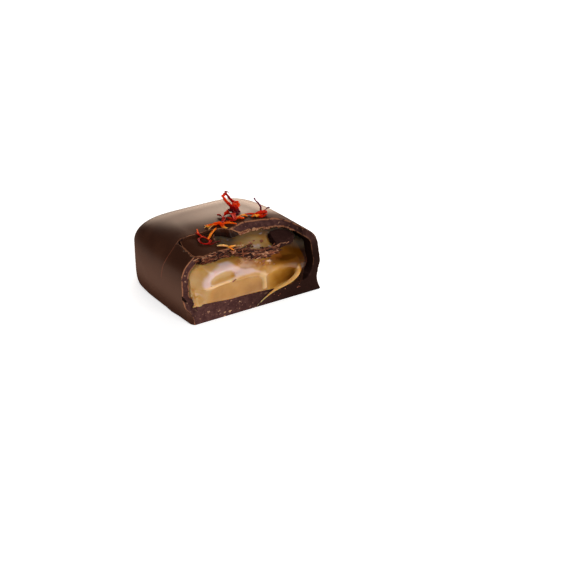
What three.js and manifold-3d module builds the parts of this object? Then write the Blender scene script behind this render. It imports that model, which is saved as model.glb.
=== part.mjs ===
// One half of a soft caramel sweet in a dark chocolate coat, cut through the middle.
// The coat is broken open above the cut, with pieces of it lying on the caramel
// and dried saffron threads scattered on top.
//
// Millimetres, +Z up. X runs along the cut, the cut face looks towards -Y and
// the underside rests on Z = 0. The model is laid out with the middle of the cut
// at X = 0, Y = 0, and the last lines move its origin to the middle of its footprint.

import * as THREE from 'three';
import { mergeVertices } from 'three/addons/utils/BufferGeometryUtils.js';
import Module from 'manifold-3d';

// The whole sweet's pillow shape.
const HALF_WIDTH = 14.0;
const HALF_LENGTH = 24.65;
const HEIGHT = 13.15;
const CORNER_POWER = 5.4; // 2 is an ellipse, higher is squarer
const SHOULDER_HEIGHT = 7.9; // where the wall starts to round over
const SHOULDER_REACH = 6.4; // how far in the rounding ends
const CROWN = 0.7; // rise of the top inside the shoulder
const FOOT_ROUND = 0.45; // rounded lower edge of the left side
const WALL_LEAN = 0.1; // the left side leans out by this towards its shoulder
const FLARE_FOOT = 0.5; // the right side has a waist over a flared foot
const FLARE_WAIST = 1.3;
const WAIST_HEIGHT = 2.6;

// The coat and its breaks.
const COAT = 1.4; // thickness of wall and roof
const FLOOR = 2.85; // thickness of the bottom in its middle
const FLOOR_FILLET = 1.7;
const FLOOR_RISE = 0.4; // it is thicker by this towards the left, and again at the left wall
const LEFT_SETBACK = 2.2; // the left wall's broken edge stands behind the cut
const RIGHT_SETBACK = 1.6;
const ROUGHNESS = 0.14; // depth of the crags on broken chocolate
const ROOF_LEAN = 0.8; // the roof's broken edge slopes forward under itself
const GAP = 0.25; // between one piece and the next

// The caramel.
const BULGE = 0.75; // how far it swells out of the cut
const TRENCH_HEIGHT = 10.75; // its top where the roof is gone
const CARAMEL_END = 9.9; // where it stops short of the right wall, at the floor
const LIP = 0.5; // how far the upper layer folds over the lower one
const TUCK = 0.28; // how far the lower layer is tucked in at the right
const DRIP = { x: 1.1, y: -0.6, top: 6.7, tip: 3.5, neck: 0.4, shoulder: 1.1, flatness: 0.7 };
const STRING_WIDTH = 0.9;

// The pieces of the coat that fell on the caramel.
// Each has the outline that it was broken out of the roof with. It has sunk by sink
// at its hinge point and tips down towards the front and the right, in radians.
const PLATE = {
  outline: [
    [-9.8, 8.5], [-10.4, 6.9], [-10.7, 4.0], [-10.6, 2.6], [-9.8, 1.6], [-8.9, 1.7], [-7.5, 2.0],
    [-6.3, 2.1], [-4.4, 2.0], [-5.2, 4.7], [-4.5, 6.9], [-3.9, 7.8], [-4.6, 8.25], [-6.5, 8.4], [-8.35, 8.45],
  ],
  hinge: [-11, 8.3],
  sink: 0.15,
  forward: 0.05,
  sideways: 0.09,
};
const FLAP = {
  outline: [[4.9, 1.5], [6.5, 1.2], [8.6, 1.9], [9.7, 2.7], [9.3, 4.4], [7.6, 5.1], [5.9, 4.9], [5.2, 3.4]],
  hinge: [7, 5],
  sink: 1.3,
  forward: 0.16,
  sideways: 0,
};
const RUBBLE_RADIUS = 0.75;

// The saffron.
const THREAD_WIDTH = 0.8;
const THREAD_THICKNESS = 0.3;

const wasm = await Module();
wasm.setup();

// ---------- numbers and surfaces ----------

const clamp01 = (t) => Math.min(Math.max(t, 0), 1);
const mix = (a, b, t) => a + (b - a) * t;

function ease(low, high, value) {
  const t = clamp01((value - low) / (high - low));
  return t * t * (3 - 2 * t);
}

// A value between the heights of points [place, height] either side of it.
function along(points, place) {
  let k = 1;
  while (k < points.length - 1 && points[k][0] < place) k += 1;
  const [x0, v0] = points[k - 1];
  const [x1, v1] = points[k];
  return mix(v0, v1, clamp01((place - x0) / (x1 - x0)));
}

function lattice(i, j, k) {
  const s = Math.sin(i * 127.1 + j * 311.7 + k * 74.7) * 43758.5453;
  return 2 * (s - Math.floor(s)) - 1;
}

// Smooth lumps between -1 and 1, about one unit across.
function lumps(x, y, z) {
  const i = Math.floor(x);
  const j = Math.floor(y);
  const k = Math.floor(z);
  const u = ease(0, 1, x - i);
  const v = ease(0, 1, y - j);
  const w = ease(0, 1, z - k);
  const edge = (dj, dk) => mix(lattice(i, j + dj, k + dk), lattice(i + 1, j + dj, k + dk), u);
  return mix(mix(edge(0, 0), edge(1, 0), v), mix(edge(0, 1), edge(1, 1), v), w);
}

const signedPower = (value, power) => Math.sign(value) * Math.abs(value) ** power;

// A closed body through equal rings of points, its two ends closed by fans.
function loft(rings) {
  const count = rings[0].length;
  const middle = (ring) => ring.reduce((sum, p) => sum.add(p), new THREE.Vector3()).divideScalar(count);
  const points = [...rings.flat(), middle(rings[0]), middle(rings[rings.length - 1])];
  const first = points.length - 2;
  const last = points.length - 1;
  const faces = [];
  for (let r = 0; r < rings.length - 1; r += 1) {
    for (let c = 0; c < count; c += 1) {
      const a = r * count + c;
      const b = r * count + ((c + 1) % count);
      faces.push([a, b, b + count], [a, b + count, a + count]);
    }
  }
  const top = (rings.length - 1) * count;
  for (let c = 0; c < count; c += 1) {
    const next = (c + 1) % count;
    faces.push([first, next, c], [last, top + c, top + next]);
  }
  const cross = new THREE.Vector3();
  const volume = faces.reduce(
    (sum, [a, b, c]) => sum + points[a].dot(cross.crossVectors(points[b], points[c])), 0);
  const outward = volume > 0 ? faces : faces.map(([a, b, c]) => [a, c, b]);
  const geometry = new THREE.BufferGeometry().setFromPoints(points);
  geometry.setIndex(outward.flat());
  return geometry;
}

function toSolid(geometry) {
  const bare = geometry.clone();
  bare.deleteAttribute('normal');
  bare.deleteAttribute('uv');
  const merged = mergeVertices(bare, 1e-4);
  return new wasm.Manifold(new wasm.Mesh({
    numProp: 3,
    vertProperties: new Float32Array(merged.attributes.position.array),
    triVerts: new Uint32Array(merged.index.array),
  }));
}

function toMesh(name, solid, material) {
  const { vertProperties, triVerts } = solid.getMesh();
  const geometry = new THREE.BufferGeometry();
  geometry.setAttribute('position', new THREE.BufferAttribute(vertProperties, 3));
  geometry.setIndex(new THREE.BufferAttribute(triVerts, 1));
  geometry.computeVertexNormals();
  const mesh = new THREE.Mesh(geometry, material);
  mesh.name = name;
  return mesh;
}

// ---------- the pillow shape ----------

// How far the wall stands in from the widest outline at a height.
// flare is 0 on the left side, 1 on the right side.
function wallInset(height, flare) {
  const rounded = FOOT_ROUND * Math.exp(-height / 0.9) + WALL_LEAN * (1 - height / SHOULDER_HEIGHT);
  const low = Math.sin(clamp01(height / WAIST_HEIGHT) * Math.PI / 2);
  const down = FLARE_FOOT + (FLARE_WAIST - FLARE_FOOT) * low;
  const up = clamp01((height - WAIST_HEIGHT) / (SHOULDER_HEIGHT - WAIST_HEIGHT));
  const flared = height < WAIST_HEIGHT ? down : FLARE_WAIST * 0.5 * (1 + Math.cos(Math.PI * up));
  return mix(rounded, flared, flare);
}

// Directions round the plan, evenly spaced along its outline.
class Plan extends THREE.Curve {
  getPoint(t, target = new THREE.Vector3()) {
    const angle = t * 2 * Math.PI;
    const x = HALF_WIDTH * signedPower(Math.cos(angle), 2 / CORNER_POWER);
    const y = HALF_LENGTH * signedPower(Math.sin(angle), 2 / CORNER_POWER);
    return target.set(x, y, 0);
  }
}

function planAngles(count) {
  const plan = new Plan();
  plan.arcLengthDivisions = 4000;
  const angles = [];
  for (let k = 0; k < count; k += 1) {
    angles.push(plan.getUtoTmapping(k / count) * 2 * Math.PI);
  }
  return angles;
}

function planPoint(angle, inset, height) {
  const halfX = HALF_WIDTH - inset;
  const shrink = (HALF_LENGTH - SHOULDER_REACH) / (HALF_WIDTH - SHOULDER_REACH);
  const halfY = inset < SHOULDER_REACH ? HALF_LENGTH - inset : halfX * shrink;
  const x = halfX * signedPower(Math.cos(angle), 2 / CORNER_POWER);
  const y = halfY * signedPower(Math.sin(angle), 2 / CORNER_POWER);
  return new THREE.Vector3(x, y, height);
}

// How much higher the bottom's inner surface lies at a place across the sweet.
const floorRise = (x) => FLOOR_RISE * (ease(6, -4, x) + ease(-5, -10.5, x) - 0.5);

// The cavity's shape with its floor raised towards the left. It fades out up the walls.
function raiseFloor(geometry, floor) {
  const { position } = geometry.attributes;
  for (let k = 0; k < position.count; k += 1) {
    const fade = ease(SHOULDER_HEIGHT, floor, position.getZ(k));
    position.setZ(k, position.getZ(k) + floorRise(position.getX(k)) * fade);
  }
  return geometry;
}

// The whole pillow, set in by coat all round and cut off flat at floor, where
// fillet rounds its lower edge.
function pillow(coat, floor, fillet, columns) {
  const angles = planAngles(columns);
  const rings = [];
  const addRing = (height, insetAt) => {
    rings.push(angles.map((angle) => planPoint(angle, insetAt((1 + Math.cos(angle)) / 2), height)));
  };
  const lowSteps = [0, 0.12, 0.35, 0.65, 1];
  for (const step of lowSteps) {
    const rise = Math.max(fillet, 1) * step;
    const round = fillet * (1 - Math.sqrt(1 - (1 - step) ** 2)) * (fillet > 0 ? 1 : 0);
    addRing(floor + rise, (flare) => wallInset(floor + rise, flare) + coat + round);
  }
  const wallStart = floor + Math.max(fillet, 1);
  const wallSteps = 6;
  for (let k = 1; k <= wallSteps; k += 1) {
    const height = mix(wallStart, SHOULDER_HEIGHT, k / wallSteps);
    addRing(height, (flare) => wallInset(height, flare) + coat);
  }
  const shoulderTop = HEIGHT - CROWN - coat;
  const shoulderSteps = 7;
  for (let k = 1; k <= shoulderSteps; k += 1) {
    const turn = (k / shoulderSteps) * Math.PI / 2;
    const inset = coat + (SHOULDER_REACH - coat) * (1 - Math.cos(turn));
    addRing(mix(SHOULDER_HEIGHT, shoulderTop, Math.sin(turn)), () => inset);
  }
  for (const step of [0.3, 0.65, 0.92]) {
    const inset = mix(SHOULDER_REACH, HALF_WIDTH, step);
    addRing(shoulderTop + CROWN * (1 - (1 - step) ** 2), () => inset);
  }
  return loft(rings);
}

// Height of the coat's outer surface over a point of the plan.
function roofHeight(x, y) {
  const inside = (inset) => {
    const edge = planPoint(Math.PI / 4, inset, 0);
    const unit = 0.5 ** (1 / CORNER_POWER);
    return (Math.abs(x) * unit / edge.x) ** CORNER_POWER + (Math.abs(y) * unit / edge.y) ** CORNER_POWER < 1;
  };
  let low = 0;
  let high = HALF_WIDTH - 0.01;
  for (let k = 0; k < 40; k += 1) {
    const inset = (low + high) / 2;
    if (inside(inset)) low = inset;
    else high = inset;
  }
  const shoulderTop = HEIGHT - CROWN;
  if (low < SHOULDER_REACH) {
    const turn = Math.acos(1 - low / SHOULDER_REACH);
    return mix(SHOULDER_HEIGHT, shoulderTop, Math.sin(turn));
  }
  const step = (low - SHOULDER_REACH) / (HALF_WIDTH - SHOULDER_REACH);
  return shoulderTop + CROWN * (1 - (1 - step) ** 2);
}

// ---------- the breaks in the coat ----------

// Where the left wall's skin wraps round to the bottom's cut face: [height, x].
const FOOT_CORNER = [
  [0, -12.9], [0.36, -12.87], [0.87, -12.77], [1.4, -12.82], [1.9, -12.98], [2.3, -13.26],
  [2.65, -13.64], [3.4, -14.3],
];

// How far behind the cut the coat's front edge stands, seen from the front.
function breakDepth(x, z) {
  const reach = mix(-12.9, -10.6, ease(4, 6, z));
  const left = LEFT_SETBACK * ease(-0.2, 4.6, z) * (1 - ease(reach, reach + 0.7, x));
  const corner = 1.3 * Math.max(along(FOOT_CORNER, z) - x, 0);
  const right = RIGHT_SETBACK * ease(5, 8, z) * ease(10.5, 11.5, x);
  return Math.max(left, corner) + right + ROUGHNESS * lumps(x * 1.1, 0, z * 1.1);
}

function cutBlock() {
  const reach = 16;
  const front = -30;
  const spacing = 0.75;
  const rings = [];
  for (let x = -reach; x <= reach; x += spacing) {
    const ring = [new THREE.Vector3(x, front, reach), new THREE.Vector3(x, front, -1)];
    for (let z = -1; z <= reach; z += spacing) {
      ring.push(new THREE.Vector3(x, breakDepth(x, z), z));
    }
    rings.push(ring);
  }
  return loft(rings);
}

// Outline of the hole in the roof at the roof's top surface, from the left
// wall's front end round the back to the right wall and across the front.
const ROOF_HOLE = [
  [-11.4, 2.2], [-11.25, 4.4], [-11.1, 7.0], [-10.9, 8.7], [-10.0, 9.25], [-8.4, 9.0],
  [-5.3, 8.95], [-3.6, 8.7], [-2.4, 7.6], [-1.6, 6.4], [-0.1, 7.0], [1.3, 7.5], [3.2, 8.1],
  [6.0, 8.2], [8.3, 7.7], [9.8, 6.4], [10.7, 4.4], [11.3, 2.0], [11.7, -3.0], [-11.6, -3.0],
];

// Points spread evenly round an outline and pushed to and fro by up to jitter.
function raggedOutline(corners, spacing, jitter) {
  const points = [];
  corners.forEach(([x0, y0], k) => {
    const [x1, y1] = corners[(k + 1) % corners.length];
    const length = Math.hypot(x1 - x0, y1 - y0);
    const pieces = Math.max(1, Math.round(length / spacing));
    for (let p = 0; p < pieces; p += 1) {
      const x = mix(x0, x1, p / pieces);
      const y = mix(y0, y1, p / pieces);
      const push = jitter * lumps(x * 1.7, y * 1.7, 3);
      points.push([x + push * (y1 - y0) / length, y - push * (x1 - x0) / length]);
    }
  });
  return points;
}

function prism(outline, bottom, top, leanAt) {
  const ringAt = (z) => outline.map(([x, y]) => new THREE.Vector3(x, y + leanAt(x, y, z), z));
  return loft([ringAt(bottom), ringAt(top)]);
}

function roofLean(x, y, z) {
  const share = ease(-4, -1.5, x) * (1 - ease(8, 10, x)) * ease(3, 6, y);
  return ROOF_LEAN * share * (z - HEIGHT);
}

// ---------- threads, string and drip ----------

// A flat strand along a curve, thinner towards its ends.
function strand(points, width, thickness, steps, taper = 0.35) {
  const curve = new THREE.CatmullRomCurve3(points.map((p) => new THREE.Vector3(...p)), false, 'centripetal');
  const sides = 6;
  const rings = [];
  for (let k = 0; k <= steps; k += 1) {
    const u = k / steps;
    const centre = curve.getPointAt(u);
    const forward = curve.getTangentAt(u);
    const up = new THREE.Vector3(0.35, -0.6, 1).normalize();
    const side = new THREE.Vector3().crossVectors(forward, up).normalize();
    const lift = new THREE.Vector3().crossVectors(side, forward);
    const size = taper + (1 - taper) * Math.sqrt(Math.sin(Math.PI * mix(0.04, 0.96, u)));
    const ring = [];
    for (let c = 0; c < sides; c += 1) {
      const turn = (c / sides) * 2 * Math.PI;
      const across = side.clone().multiplyScalar(0.5 * width * size * Math.cos(turn));
      const above = lift.clone().multiplyScalar(0.5 * thickness * size * Math.sin(turn));
      ring.push(centre.clone().add(across).add(above));
    }
    rings.push(ring);
  }
  return loft(rings);
}

// A thread on a surface: [x, y, lift over the surface].
function threadOn(heightAt, size, points) {
  const placed = points.map(([x, y, lift]) => [x, y, heightAt(x, y) + lift]);
  const steps = 2 + 2 * points.length;
  return toSolid(strand(placed, THREAD_WIDTH * size, THREAD_THICKNESS * size, steps));
}

// Each thread: how wide it is against THREAD_WIDTH, and its points.
const ROOF_THREADS = [
  // the tall loop: its two sides, the petal between them and its base
  [0.8, [[3.6, 13.2, -0.1], [2.8, 13.2, 1.37], [1.95, 13.2, 2.45], [1.5, 13.2, 3.44], [2.0, 13.2, 4.1]]],
  [0.7, [[4.4, 13.5, -0.1], [4.76, 13.8, 0.8], [4.31, 13.6, 1.5], [3.01, 13.4, 2.64], [2.0, 13.2, 4.05]]],
  [1.6, [[3.4, 13.2, -0.1], [3.42, 13.1, 0.9], [3.5, 13.2, 1.9]]],
  [1.3, [[2.3, 13.3, 0.35], [3.47, 13.1, 0.1], [4.7, 12.6, 0.0]]],
  [1.2, [[3.0, 12.9, 0.2], [3.3, 12.2, 0.05], [3.4, 11.5, 0.0]]],
  // the red curls in front of it
  [0.8, [[0.1, 13.1, 0.1], [0.38, 12.3, 0.2], [0.25, 11.3, 0.15], [-0.3, 10.4, 0.1], [-1.6, 9.4, 0.0]]],
  [1.5, [[0.75, 12.1, 0.0], [1.3, 12.0, 0.4], [1.7, 11.3, 0.5], [1.6, 10.4, 0.4], [1.4, 9.7, 0.0]]],
  [0.8, [[0.7, 10.9, 0.1], [1.4, 9.7, 0.1], [0.3, 9.35, 0.1], [-1.5, 9.6, 0.0]]],
  [1.0, [[1.3, 9.1, 0.0], [2.47, 9.91, 0.15], [3.27, 10.3, 0.2], [4.4, 9.8, 0.0]]],
  // the forked orange one at the roof's broken edge
  [1.2, [[-4.5, 9.7, 0.0], [-3.41, 9.8, 0.15], [-1.8, 9.1, 0.15], [-0.97, 8.7, 0.15], [0.6, 7.8, 0.0]]],
  [0.6, [[-4.1, 10.6, 0.0], [-3.4, 10.1, 0.12], [-2.6, 9.6, 0.1]]],
  [0.6, [[-1.6, 9.2, 0.1], [-1.9, 8.3, 0.1], [-1.7, 7.4, 0.0]]],
  // red and yellow by the right end, and a thin one that stands up and forks
  [1.4, [[4.4, 11.0, 0.0], [5.8, 9.8, 0.15], [7.2, 9.2, 0.2], [8.4, 9.4, 0.1]]],
  [0.9, [[4.9, 9.4, 0.0], [5.7, 8.9, 0.15], [7.0, 8.8, 0.15]]],
  [0.5, [[7.6, 9.3, -0.05], [7.4, 9.6, 0.5], [7.2, 9.8, 1.27], [6.8, 10.2, 2.25], [6.31, 10.6, 3.14]]],
  [0.5, [[7.5, 9.4, 0.1], [8.1, 9.6, 0.72], [9.03, 9.6, 1.19]]],
];

const PLATE_THREADS = [
  [1.1, [[-4.1, 7.6, 0.6], [-5.25, 6.84, 0.3], [-6.1, 6.25, 0.0]]],
  [0.7, [[-6.4, 8.4, 0.4], [-6.55, 8.0, 0.25], [-6.3, 7.6, 0.15], [-6.2, 6.8, 0.1]]],
  [0.8, [
    [-6.2, 7.0, 0.1], [-6.17, 6.2, 0.2], [-6.2, 5.4, 0.15], [-6.9, 4.95, 0.1], [-7.6, 5.2, 0.1],
    [-7.88, 5.95, 0.15], [-7.5, 7.0, 0.15], [-6.9, 7.4, 0.15],
  ]],
  [0.5, [[-6.8, 4.9, 0.05], [-6.0, 4.65, 0.15], [-5.4, 4.65, 0.25]]],
  [0.8, [[-5.8, 3.8, 0.05], [-5.3, 3.5, 0.15], [-4.9, 2.7, 0.05]]],
];

const STRING = [
  [8.9, 0.3, 6.4], [8.8, -0.1, 5.6], [8.15, -0.5, 4.85], [7.1, -0.75, 4.2], [5.3, -0.8, 3.35],
  [3.3, -0.75, 2.75], [1.95, -0.7, 2.0], [0.85, -0.65, 1.1], [-0.2, -0.6, 0.4],
];

function drip() {
  const length = DRIP.top - DRIP.tip;
  const profile = [new THREE.Vector2(0, 0)];
  const steps = 12;
  for (let k = 1; k < steps; k += 1) {
    const share = k / steps;
    const tip = Math.sqrt(1 - (1 - Math.min(share * 4, 1)) ** 2);
    const top = Math.sqrt(1 - Math.max(share * 4 - 3, 0) ** 2);
    const spread = DRIP.neck + (DRIP.shoulder - DRIP.neck) * ease(0.45, 0.8, share);
    profile.push(new THREE.Vector2(spread * tip * top, share * length));
  }
  profile.push(new THREE.Vector2(0, length));
  const body = new THREE.LatheGeometry(profile, 12);
  body.rotateX(Math.PI / 2);
  body.scale(1, DRIP.flatness, 1);
  body.translate(DRIP.x, DRIP.y, DRIP.tip);
  return body;
}

// ---------- the caramel ----------

// Height of the caramel's front brow, falling to the right.
const BROW = [
  [-12.5, 10.6], [-9.7, 10.3], [-7.3, 10.0], [-3.5, 10.1], [-1.2, 9.8], [1.3, 8.9],
  [3.4, 8.2], [7.2, 7.8], [8.9, 7.3], [10.5, 6.9], [12.5, 6.4],
];

// Height of the lip where the upper layer of caramel folds over the lower one.
const LIP_LINE = [
  [-12, 5.9], [-10.4, 6.2], [-8.4, 6.45], [-4.3, 6.5], [-1.6, 6.5], [0.5, 5.9], [1.9, 6.2],
  [4.7, 6.6], [8.6, 6.0],
];

// How far a fallen piece lies below where it was in the roof.
const drop = (piece, x, y) => piece.sink
  + piece.forward * (piece.hinge[1] - y)
  + piece.sideways * (x - piece.hinge[0]);

// 1 from low to high and falling to 0 within a margin outside them.
const between = (low, high, margin, value) => (
  ease(low - margin, low, value) * ease(high + margin, high, value));

// The surface pressed down clear of a piece's underside, all round the piece.
function pressedBy(piece, surface, x, y) {
  const xs = piece.outline.map(([px]) => px);
  const ys = piece.outline.map(([, py]) => py);
  const margin = 1.2;
  const acrossX = between(Math.min(...xs) - GAP, Math.max(...xs) + GAP, margin, x);
  const acrossY = between(Math.min(...ys) - GAP, Math.max(...ys) + 2 * GAP, margin, y);
  const underside = roofHeight(x, y) - COAT - drop(piece, x, y) - 2.5 * GAP;
  return mix(surface, Math.min(surface, underside), acrossX * acrossY);
}

function caramelTop(x, y) {
  const brow = along(BROW, x);
  const trench = mix(TRENCH_HEIGHT, 8.6, ease(6, 12, x));
  const underRoof = 3 * ease(7.6, 10.4, y) * ease(-1, -4, x) + 3 * ease(6.4, 9.6, y) * ease(-4, -1, x);
  const open = mix(brow, trench, ease(0.3, 4.2, y)) + 0.12 * lumps(x * 0.6, y * 0.6, 5) + underRoof;
  return pressedBy(PLATE, pressedBy(FLAP, open, x, y), x, y);
}

function caramelFace(x, share, z) {
  const swell = BULGE * Math.sin(Math.PI * share ** 0.8) ** 0.8 * (1 - 0.5 * ease(2, 9, x));
  const end = CARAMEL_END + 0.2 * (z - FLOOR) + 0.4 * ease(4.5, 6.5, z);
  const rightEnd = 4 * ease(end - 0.6, end + 1.6, x);
  const leftEnd = 2.3 * ease(-9.2, -13.6, x) * ease(2.6, 5.2, z);
  const above = z - along(LIP_LINE, x);
  const lip = LIP * ease(-0.3, 0.7, above) * ease(-12.2, -10.2, x) * mix(1, 0.5, ease(1.5, 3.5, x));
  const tucked = TUCK * ease(1.5, 4.5, x) * ease(9.6, 7.0, x) * ease(0.4, -1.1, above) * ease(2.9, 4.6, z);
  return 0.25 * share + 0.25 * ease(0, 0.3, share) - swell + rightEnd + leftEnd - lip + tucked;
}

function caramelBlock() {
  const faceSteps = 12;
  const topSteps = 9;
  const back = 30;
  const rings = [];
  for (let x = -14; x <= 14; x += 0.8) {
    const brow = caramelTop(x, 0.45);
    const ring = [new THREE.Vector3(x, back, 1), new THREE.Vector3(x, caramelFace(x, 0, FLOOR), 1)];
    for (let k = 0; k <= faceSteps; k += 1) {
      const share = k / faceSteps;
      const z = mix(FLOOR + floorRise(x) + GAP, brow, share);
      ring.push(new THREE.Vector3(x, caramelFace(x, share, z), z));
    }
    const start = caramelFace(x, 1, brow);
    for (let k = 1; k <= topSteps; k += 1) {
      const y = mix(start, 10.6, k / topSteps);
      ring.push(new THREE.Vector3(x, y, caramelTop(x, y)));
    }
    ring.push(new THREE.Vector3(x, back, HEIGHT + 2));
    rings.push(ring);
  }
  return loft(rings);
}

// ---------- fallen pieces of the coat ----------

// Crumbs and slivers in one heap: [x, y, height].
const RUBBLE_PATH = [
  [-3.2, 1.5, 11.0], [-1.9, 1.15, 10.6], [-0.5, 1.0, 10.2], [0.7, 1.0, 9.85],
  [2.1, 1.1, 9.65], [3.3, 1.2, 9.55], [4.2, 1.2, 9.5],
];

function rubble() {
  const curve = new THREE.CatmullRomCurve3(RUBBLE_PATH.map((p) => new THREE.Vector3(...p)));
  const steps = 26;
  const sides = 9;
  const rings = [];
  for (let k = 0; k <= steps; k += 1) {
    const u = k / steps;
    const centre = curve.getPointAt(u);
    const end = Math.sqrt(Math.sin(Math.PI * mix(0.05, 0.95, u)));
    const ring = [];
    for (let c = 0; c < sides; c += 1) {
      const turn = (c / sides) * 2 * Math.PI;
      const crag = 1 + 0.45 * lumps(k * 0.55, c * 0.8, 9);
      const radius = RUBBLE_RADIUS * end * crag;
      const y = centre.y + 1.25 * radius * Math.cos(turn);
      const z = Math.max(centre.z + 0.75 * radius * Math.sin(turn), caramelTop(centre.x, y) + 1.5 * GAP);
      ring.push(new THREE.Vector3(centre.x + 0.15 * lumps(k, c, 2), y, z));
    }
    rings.push(ring);
  }
  return loft(rings);
}

// ---------- the pieces ----------

const chocolate = new THREE.MeshStandardMaterial({ color: 0x3a241d, roughness: 0.32, metalness: 0 });
const brokenChocolate = new THREE.MeshStandardMaterial({ color: 0x4a2e2a, roughness: 0.7, metalness: 0 });
const caramelGloss = new THREE.MeshStandardMaterial({ color: 0xc69350, roughness: 0.2, metalness: 0 });

const outside = toSolid(pillow(0, 0, 0, 84));
const inside = toSolid(raiseFloor(pillow(COAT, FLOOR, FLOOR_FILLET, 64), FLOOR));
const coatAllRound = outside.subtract(inside);

const holeOutline = raggedOutline(ROOF_HOLE, 0.9, 0.12);
const roofHole = toSolid(prism(holeOutline, SHOULDER_HEIGHT + 1.2, HEIGHT + 2, roofLean));
const brokenCoat = coatAllRound.subtract(toSolid(cutBlock())).subtract(roofHole);
const coat = ROOF_THREADS.reduce(
  (solid, [size, points]) => solid.add(threadOn(roofHeight, size, points)), brokenCoat);

// A piece of the roof inside its outline, sunk and tipped.
function roofPiece(piece) {
  const level = () => 0;
  const [hingeX, hingeY] = piece.hinge;
  const cutter = toSolid(prism(raggedOutline(piece.outline, 0.8, 0.12), SHOULDER_HEIGHT, HEIGHT + 2, level));
  const pose = new THREE.Matrix4().makeTranslation(hingeX, hingeY, HEIGHT - piece.sink);
  pose.multiply(new THREE.Matrix4().makeRotationX(piece.forward));
  pose.multiply(new THREE.Matrix4().makeRotationY(piece.sideways));
  pose.multiply(new THREE.Matrix4().makeTranslation(-hingeX, -hingeY, -HEIGHT));
  return coatAllRound.intersect(cutter).transform(pose.elements);
}

const plateHeight = (x, y) => roofHeight(x, y) - drop(PLATE, x, y);
const plate = PLATE_THREADS.reduce(
  (solid, [size, points]) => solid.add(threadOn(plateHeight, size, points)), roofPiece(PLATE));
const flap = roofPiece(FLAP);

const rubbleHeap = toSolid(rubble());
const caramelRoom = toSolid(
  raiseFloor(pillow(COAT + GAP, FLOOR + GAP, FLOOR_FILLET, 64), FLOOR + GAP));
const filling = toSolid(caramelBlock())
  .intersect(caramelRoom)
  .add(toSolid(drip()))
  .add(toSolid(strand(STRING, STRING_WIDTH, 0.45, 18, 0.25)));

const sweet = new THREE.Group();
sweet.add(toMesh('chocolate_coat', coat, chocolate));
sweet.add(toMesh('caramel', filling, caramelGloss));
sweet.add(toMesh('roof_plate', plate, chocolate));
sweet.add(toMesh('roof_flap', flap, chocolate));
sweet.add(toMesh('roof_rubble', rubbleHeap, brokenChocolate));

const box = new THREE.Box3().setFromObject(sweet);
const centre = box.getCenter(new THREE.Vector3());
sweet.position.set(-centre.x, -centre.y, -box.min.z);

export default sweet;
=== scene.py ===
# Half of a soft caramel sweet in a dark chocolate coat, cut through the middle and broken
# open above the cut, with dried saffron threads on top. Shapes are worked out in
# millimetres, with the cut at Y = 0, and turned to metres when a mesh is made.

import math
import bmesh
import bpy
import numpy as np
from mathutils import Matrix, Vector


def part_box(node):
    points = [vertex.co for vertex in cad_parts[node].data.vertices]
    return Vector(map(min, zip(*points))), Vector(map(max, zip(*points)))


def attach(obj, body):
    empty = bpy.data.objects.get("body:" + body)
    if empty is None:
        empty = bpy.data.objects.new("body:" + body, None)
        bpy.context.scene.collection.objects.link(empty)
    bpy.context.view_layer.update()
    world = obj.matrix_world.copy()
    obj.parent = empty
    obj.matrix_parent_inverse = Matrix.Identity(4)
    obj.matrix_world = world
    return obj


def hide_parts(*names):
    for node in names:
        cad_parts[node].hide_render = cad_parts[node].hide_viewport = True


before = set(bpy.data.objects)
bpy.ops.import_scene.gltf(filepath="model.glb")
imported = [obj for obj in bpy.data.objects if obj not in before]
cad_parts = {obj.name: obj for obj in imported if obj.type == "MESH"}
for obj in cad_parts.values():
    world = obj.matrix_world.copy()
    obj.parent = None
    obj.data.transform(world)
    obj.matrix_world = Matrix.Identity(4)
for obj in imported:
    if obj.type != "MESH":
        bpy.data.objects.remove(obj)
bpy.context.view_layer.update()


# ---------- chocolate coat ----------
# The shell and bottom of the sweet, one continuous layer of dark chocolate. It is poured
# over the caramel and sets with a satin skin. A knife went through the bottom, and the
# thin wall and roof broke away behind the cut with dull, crumbly edges.

MM = 0.001
coat_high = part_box("chocolate_coat")[1]
HALF_WIDTH = coat_high.x / MM
HALF_LENGTH = 24.65
CUT = coat_high.y / MM - HALF_LENGTH  # the cut's place in the frame
HEIGHT = 13.15
CORNER_POWER = 5.4  # of the plan's outline: 2 is an ellipse, higher is squarer
SHOULDER_HEIGHT = 7.9  # where the wall starts to round over
SHOULDER_REACH = 6.4  # how far in the rounding ends
CROWN = 0.7  # rise of the top inside the shoulder
COAT = 1.4
FLOOR = 2.85
FLOOR_FILLET = 2.0
LEFT_SETBACK = 2.2  # the left wall's broken edge stands behind the cut
RIGHT_SETBACK = 1.6
ROOF_LEAN = 0.8  # the roof's broken edge slopes forward under itself
CHIP = 0.35  # width of a crumb on a broken edge
EDGE_ROUNDING = 0.06  # of freshly broken edges
BREAK_HEIGHT = SHOULDER_HEIGHT + 1.2  # the roof broke off above it

LATTICE = np.random.default_rng(11).uniform(-1, 1, (32, 32, 32))


def mix(a, b, share):
    return a + (b - a) * share


def ease(low, high, value):
    share = np.clip((value - low) / (high - low), 0, 1)
    return share * share * (3 - 2 * share)


def bump(distance, width):
    """1 at no distance, falling smoothly to 0 over about twice the width."""
    return np.exp(-(distance / width) ** 2)


def larger(a, b, soft):
    """The larger of two, with the change from one to the other rounded over soft."""
    share = np.clip(0.5 + 0.5 * (a - b) / soft, 0, 1)
    return mix(b, a, share) + soft * share * (1 - share)


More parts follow.
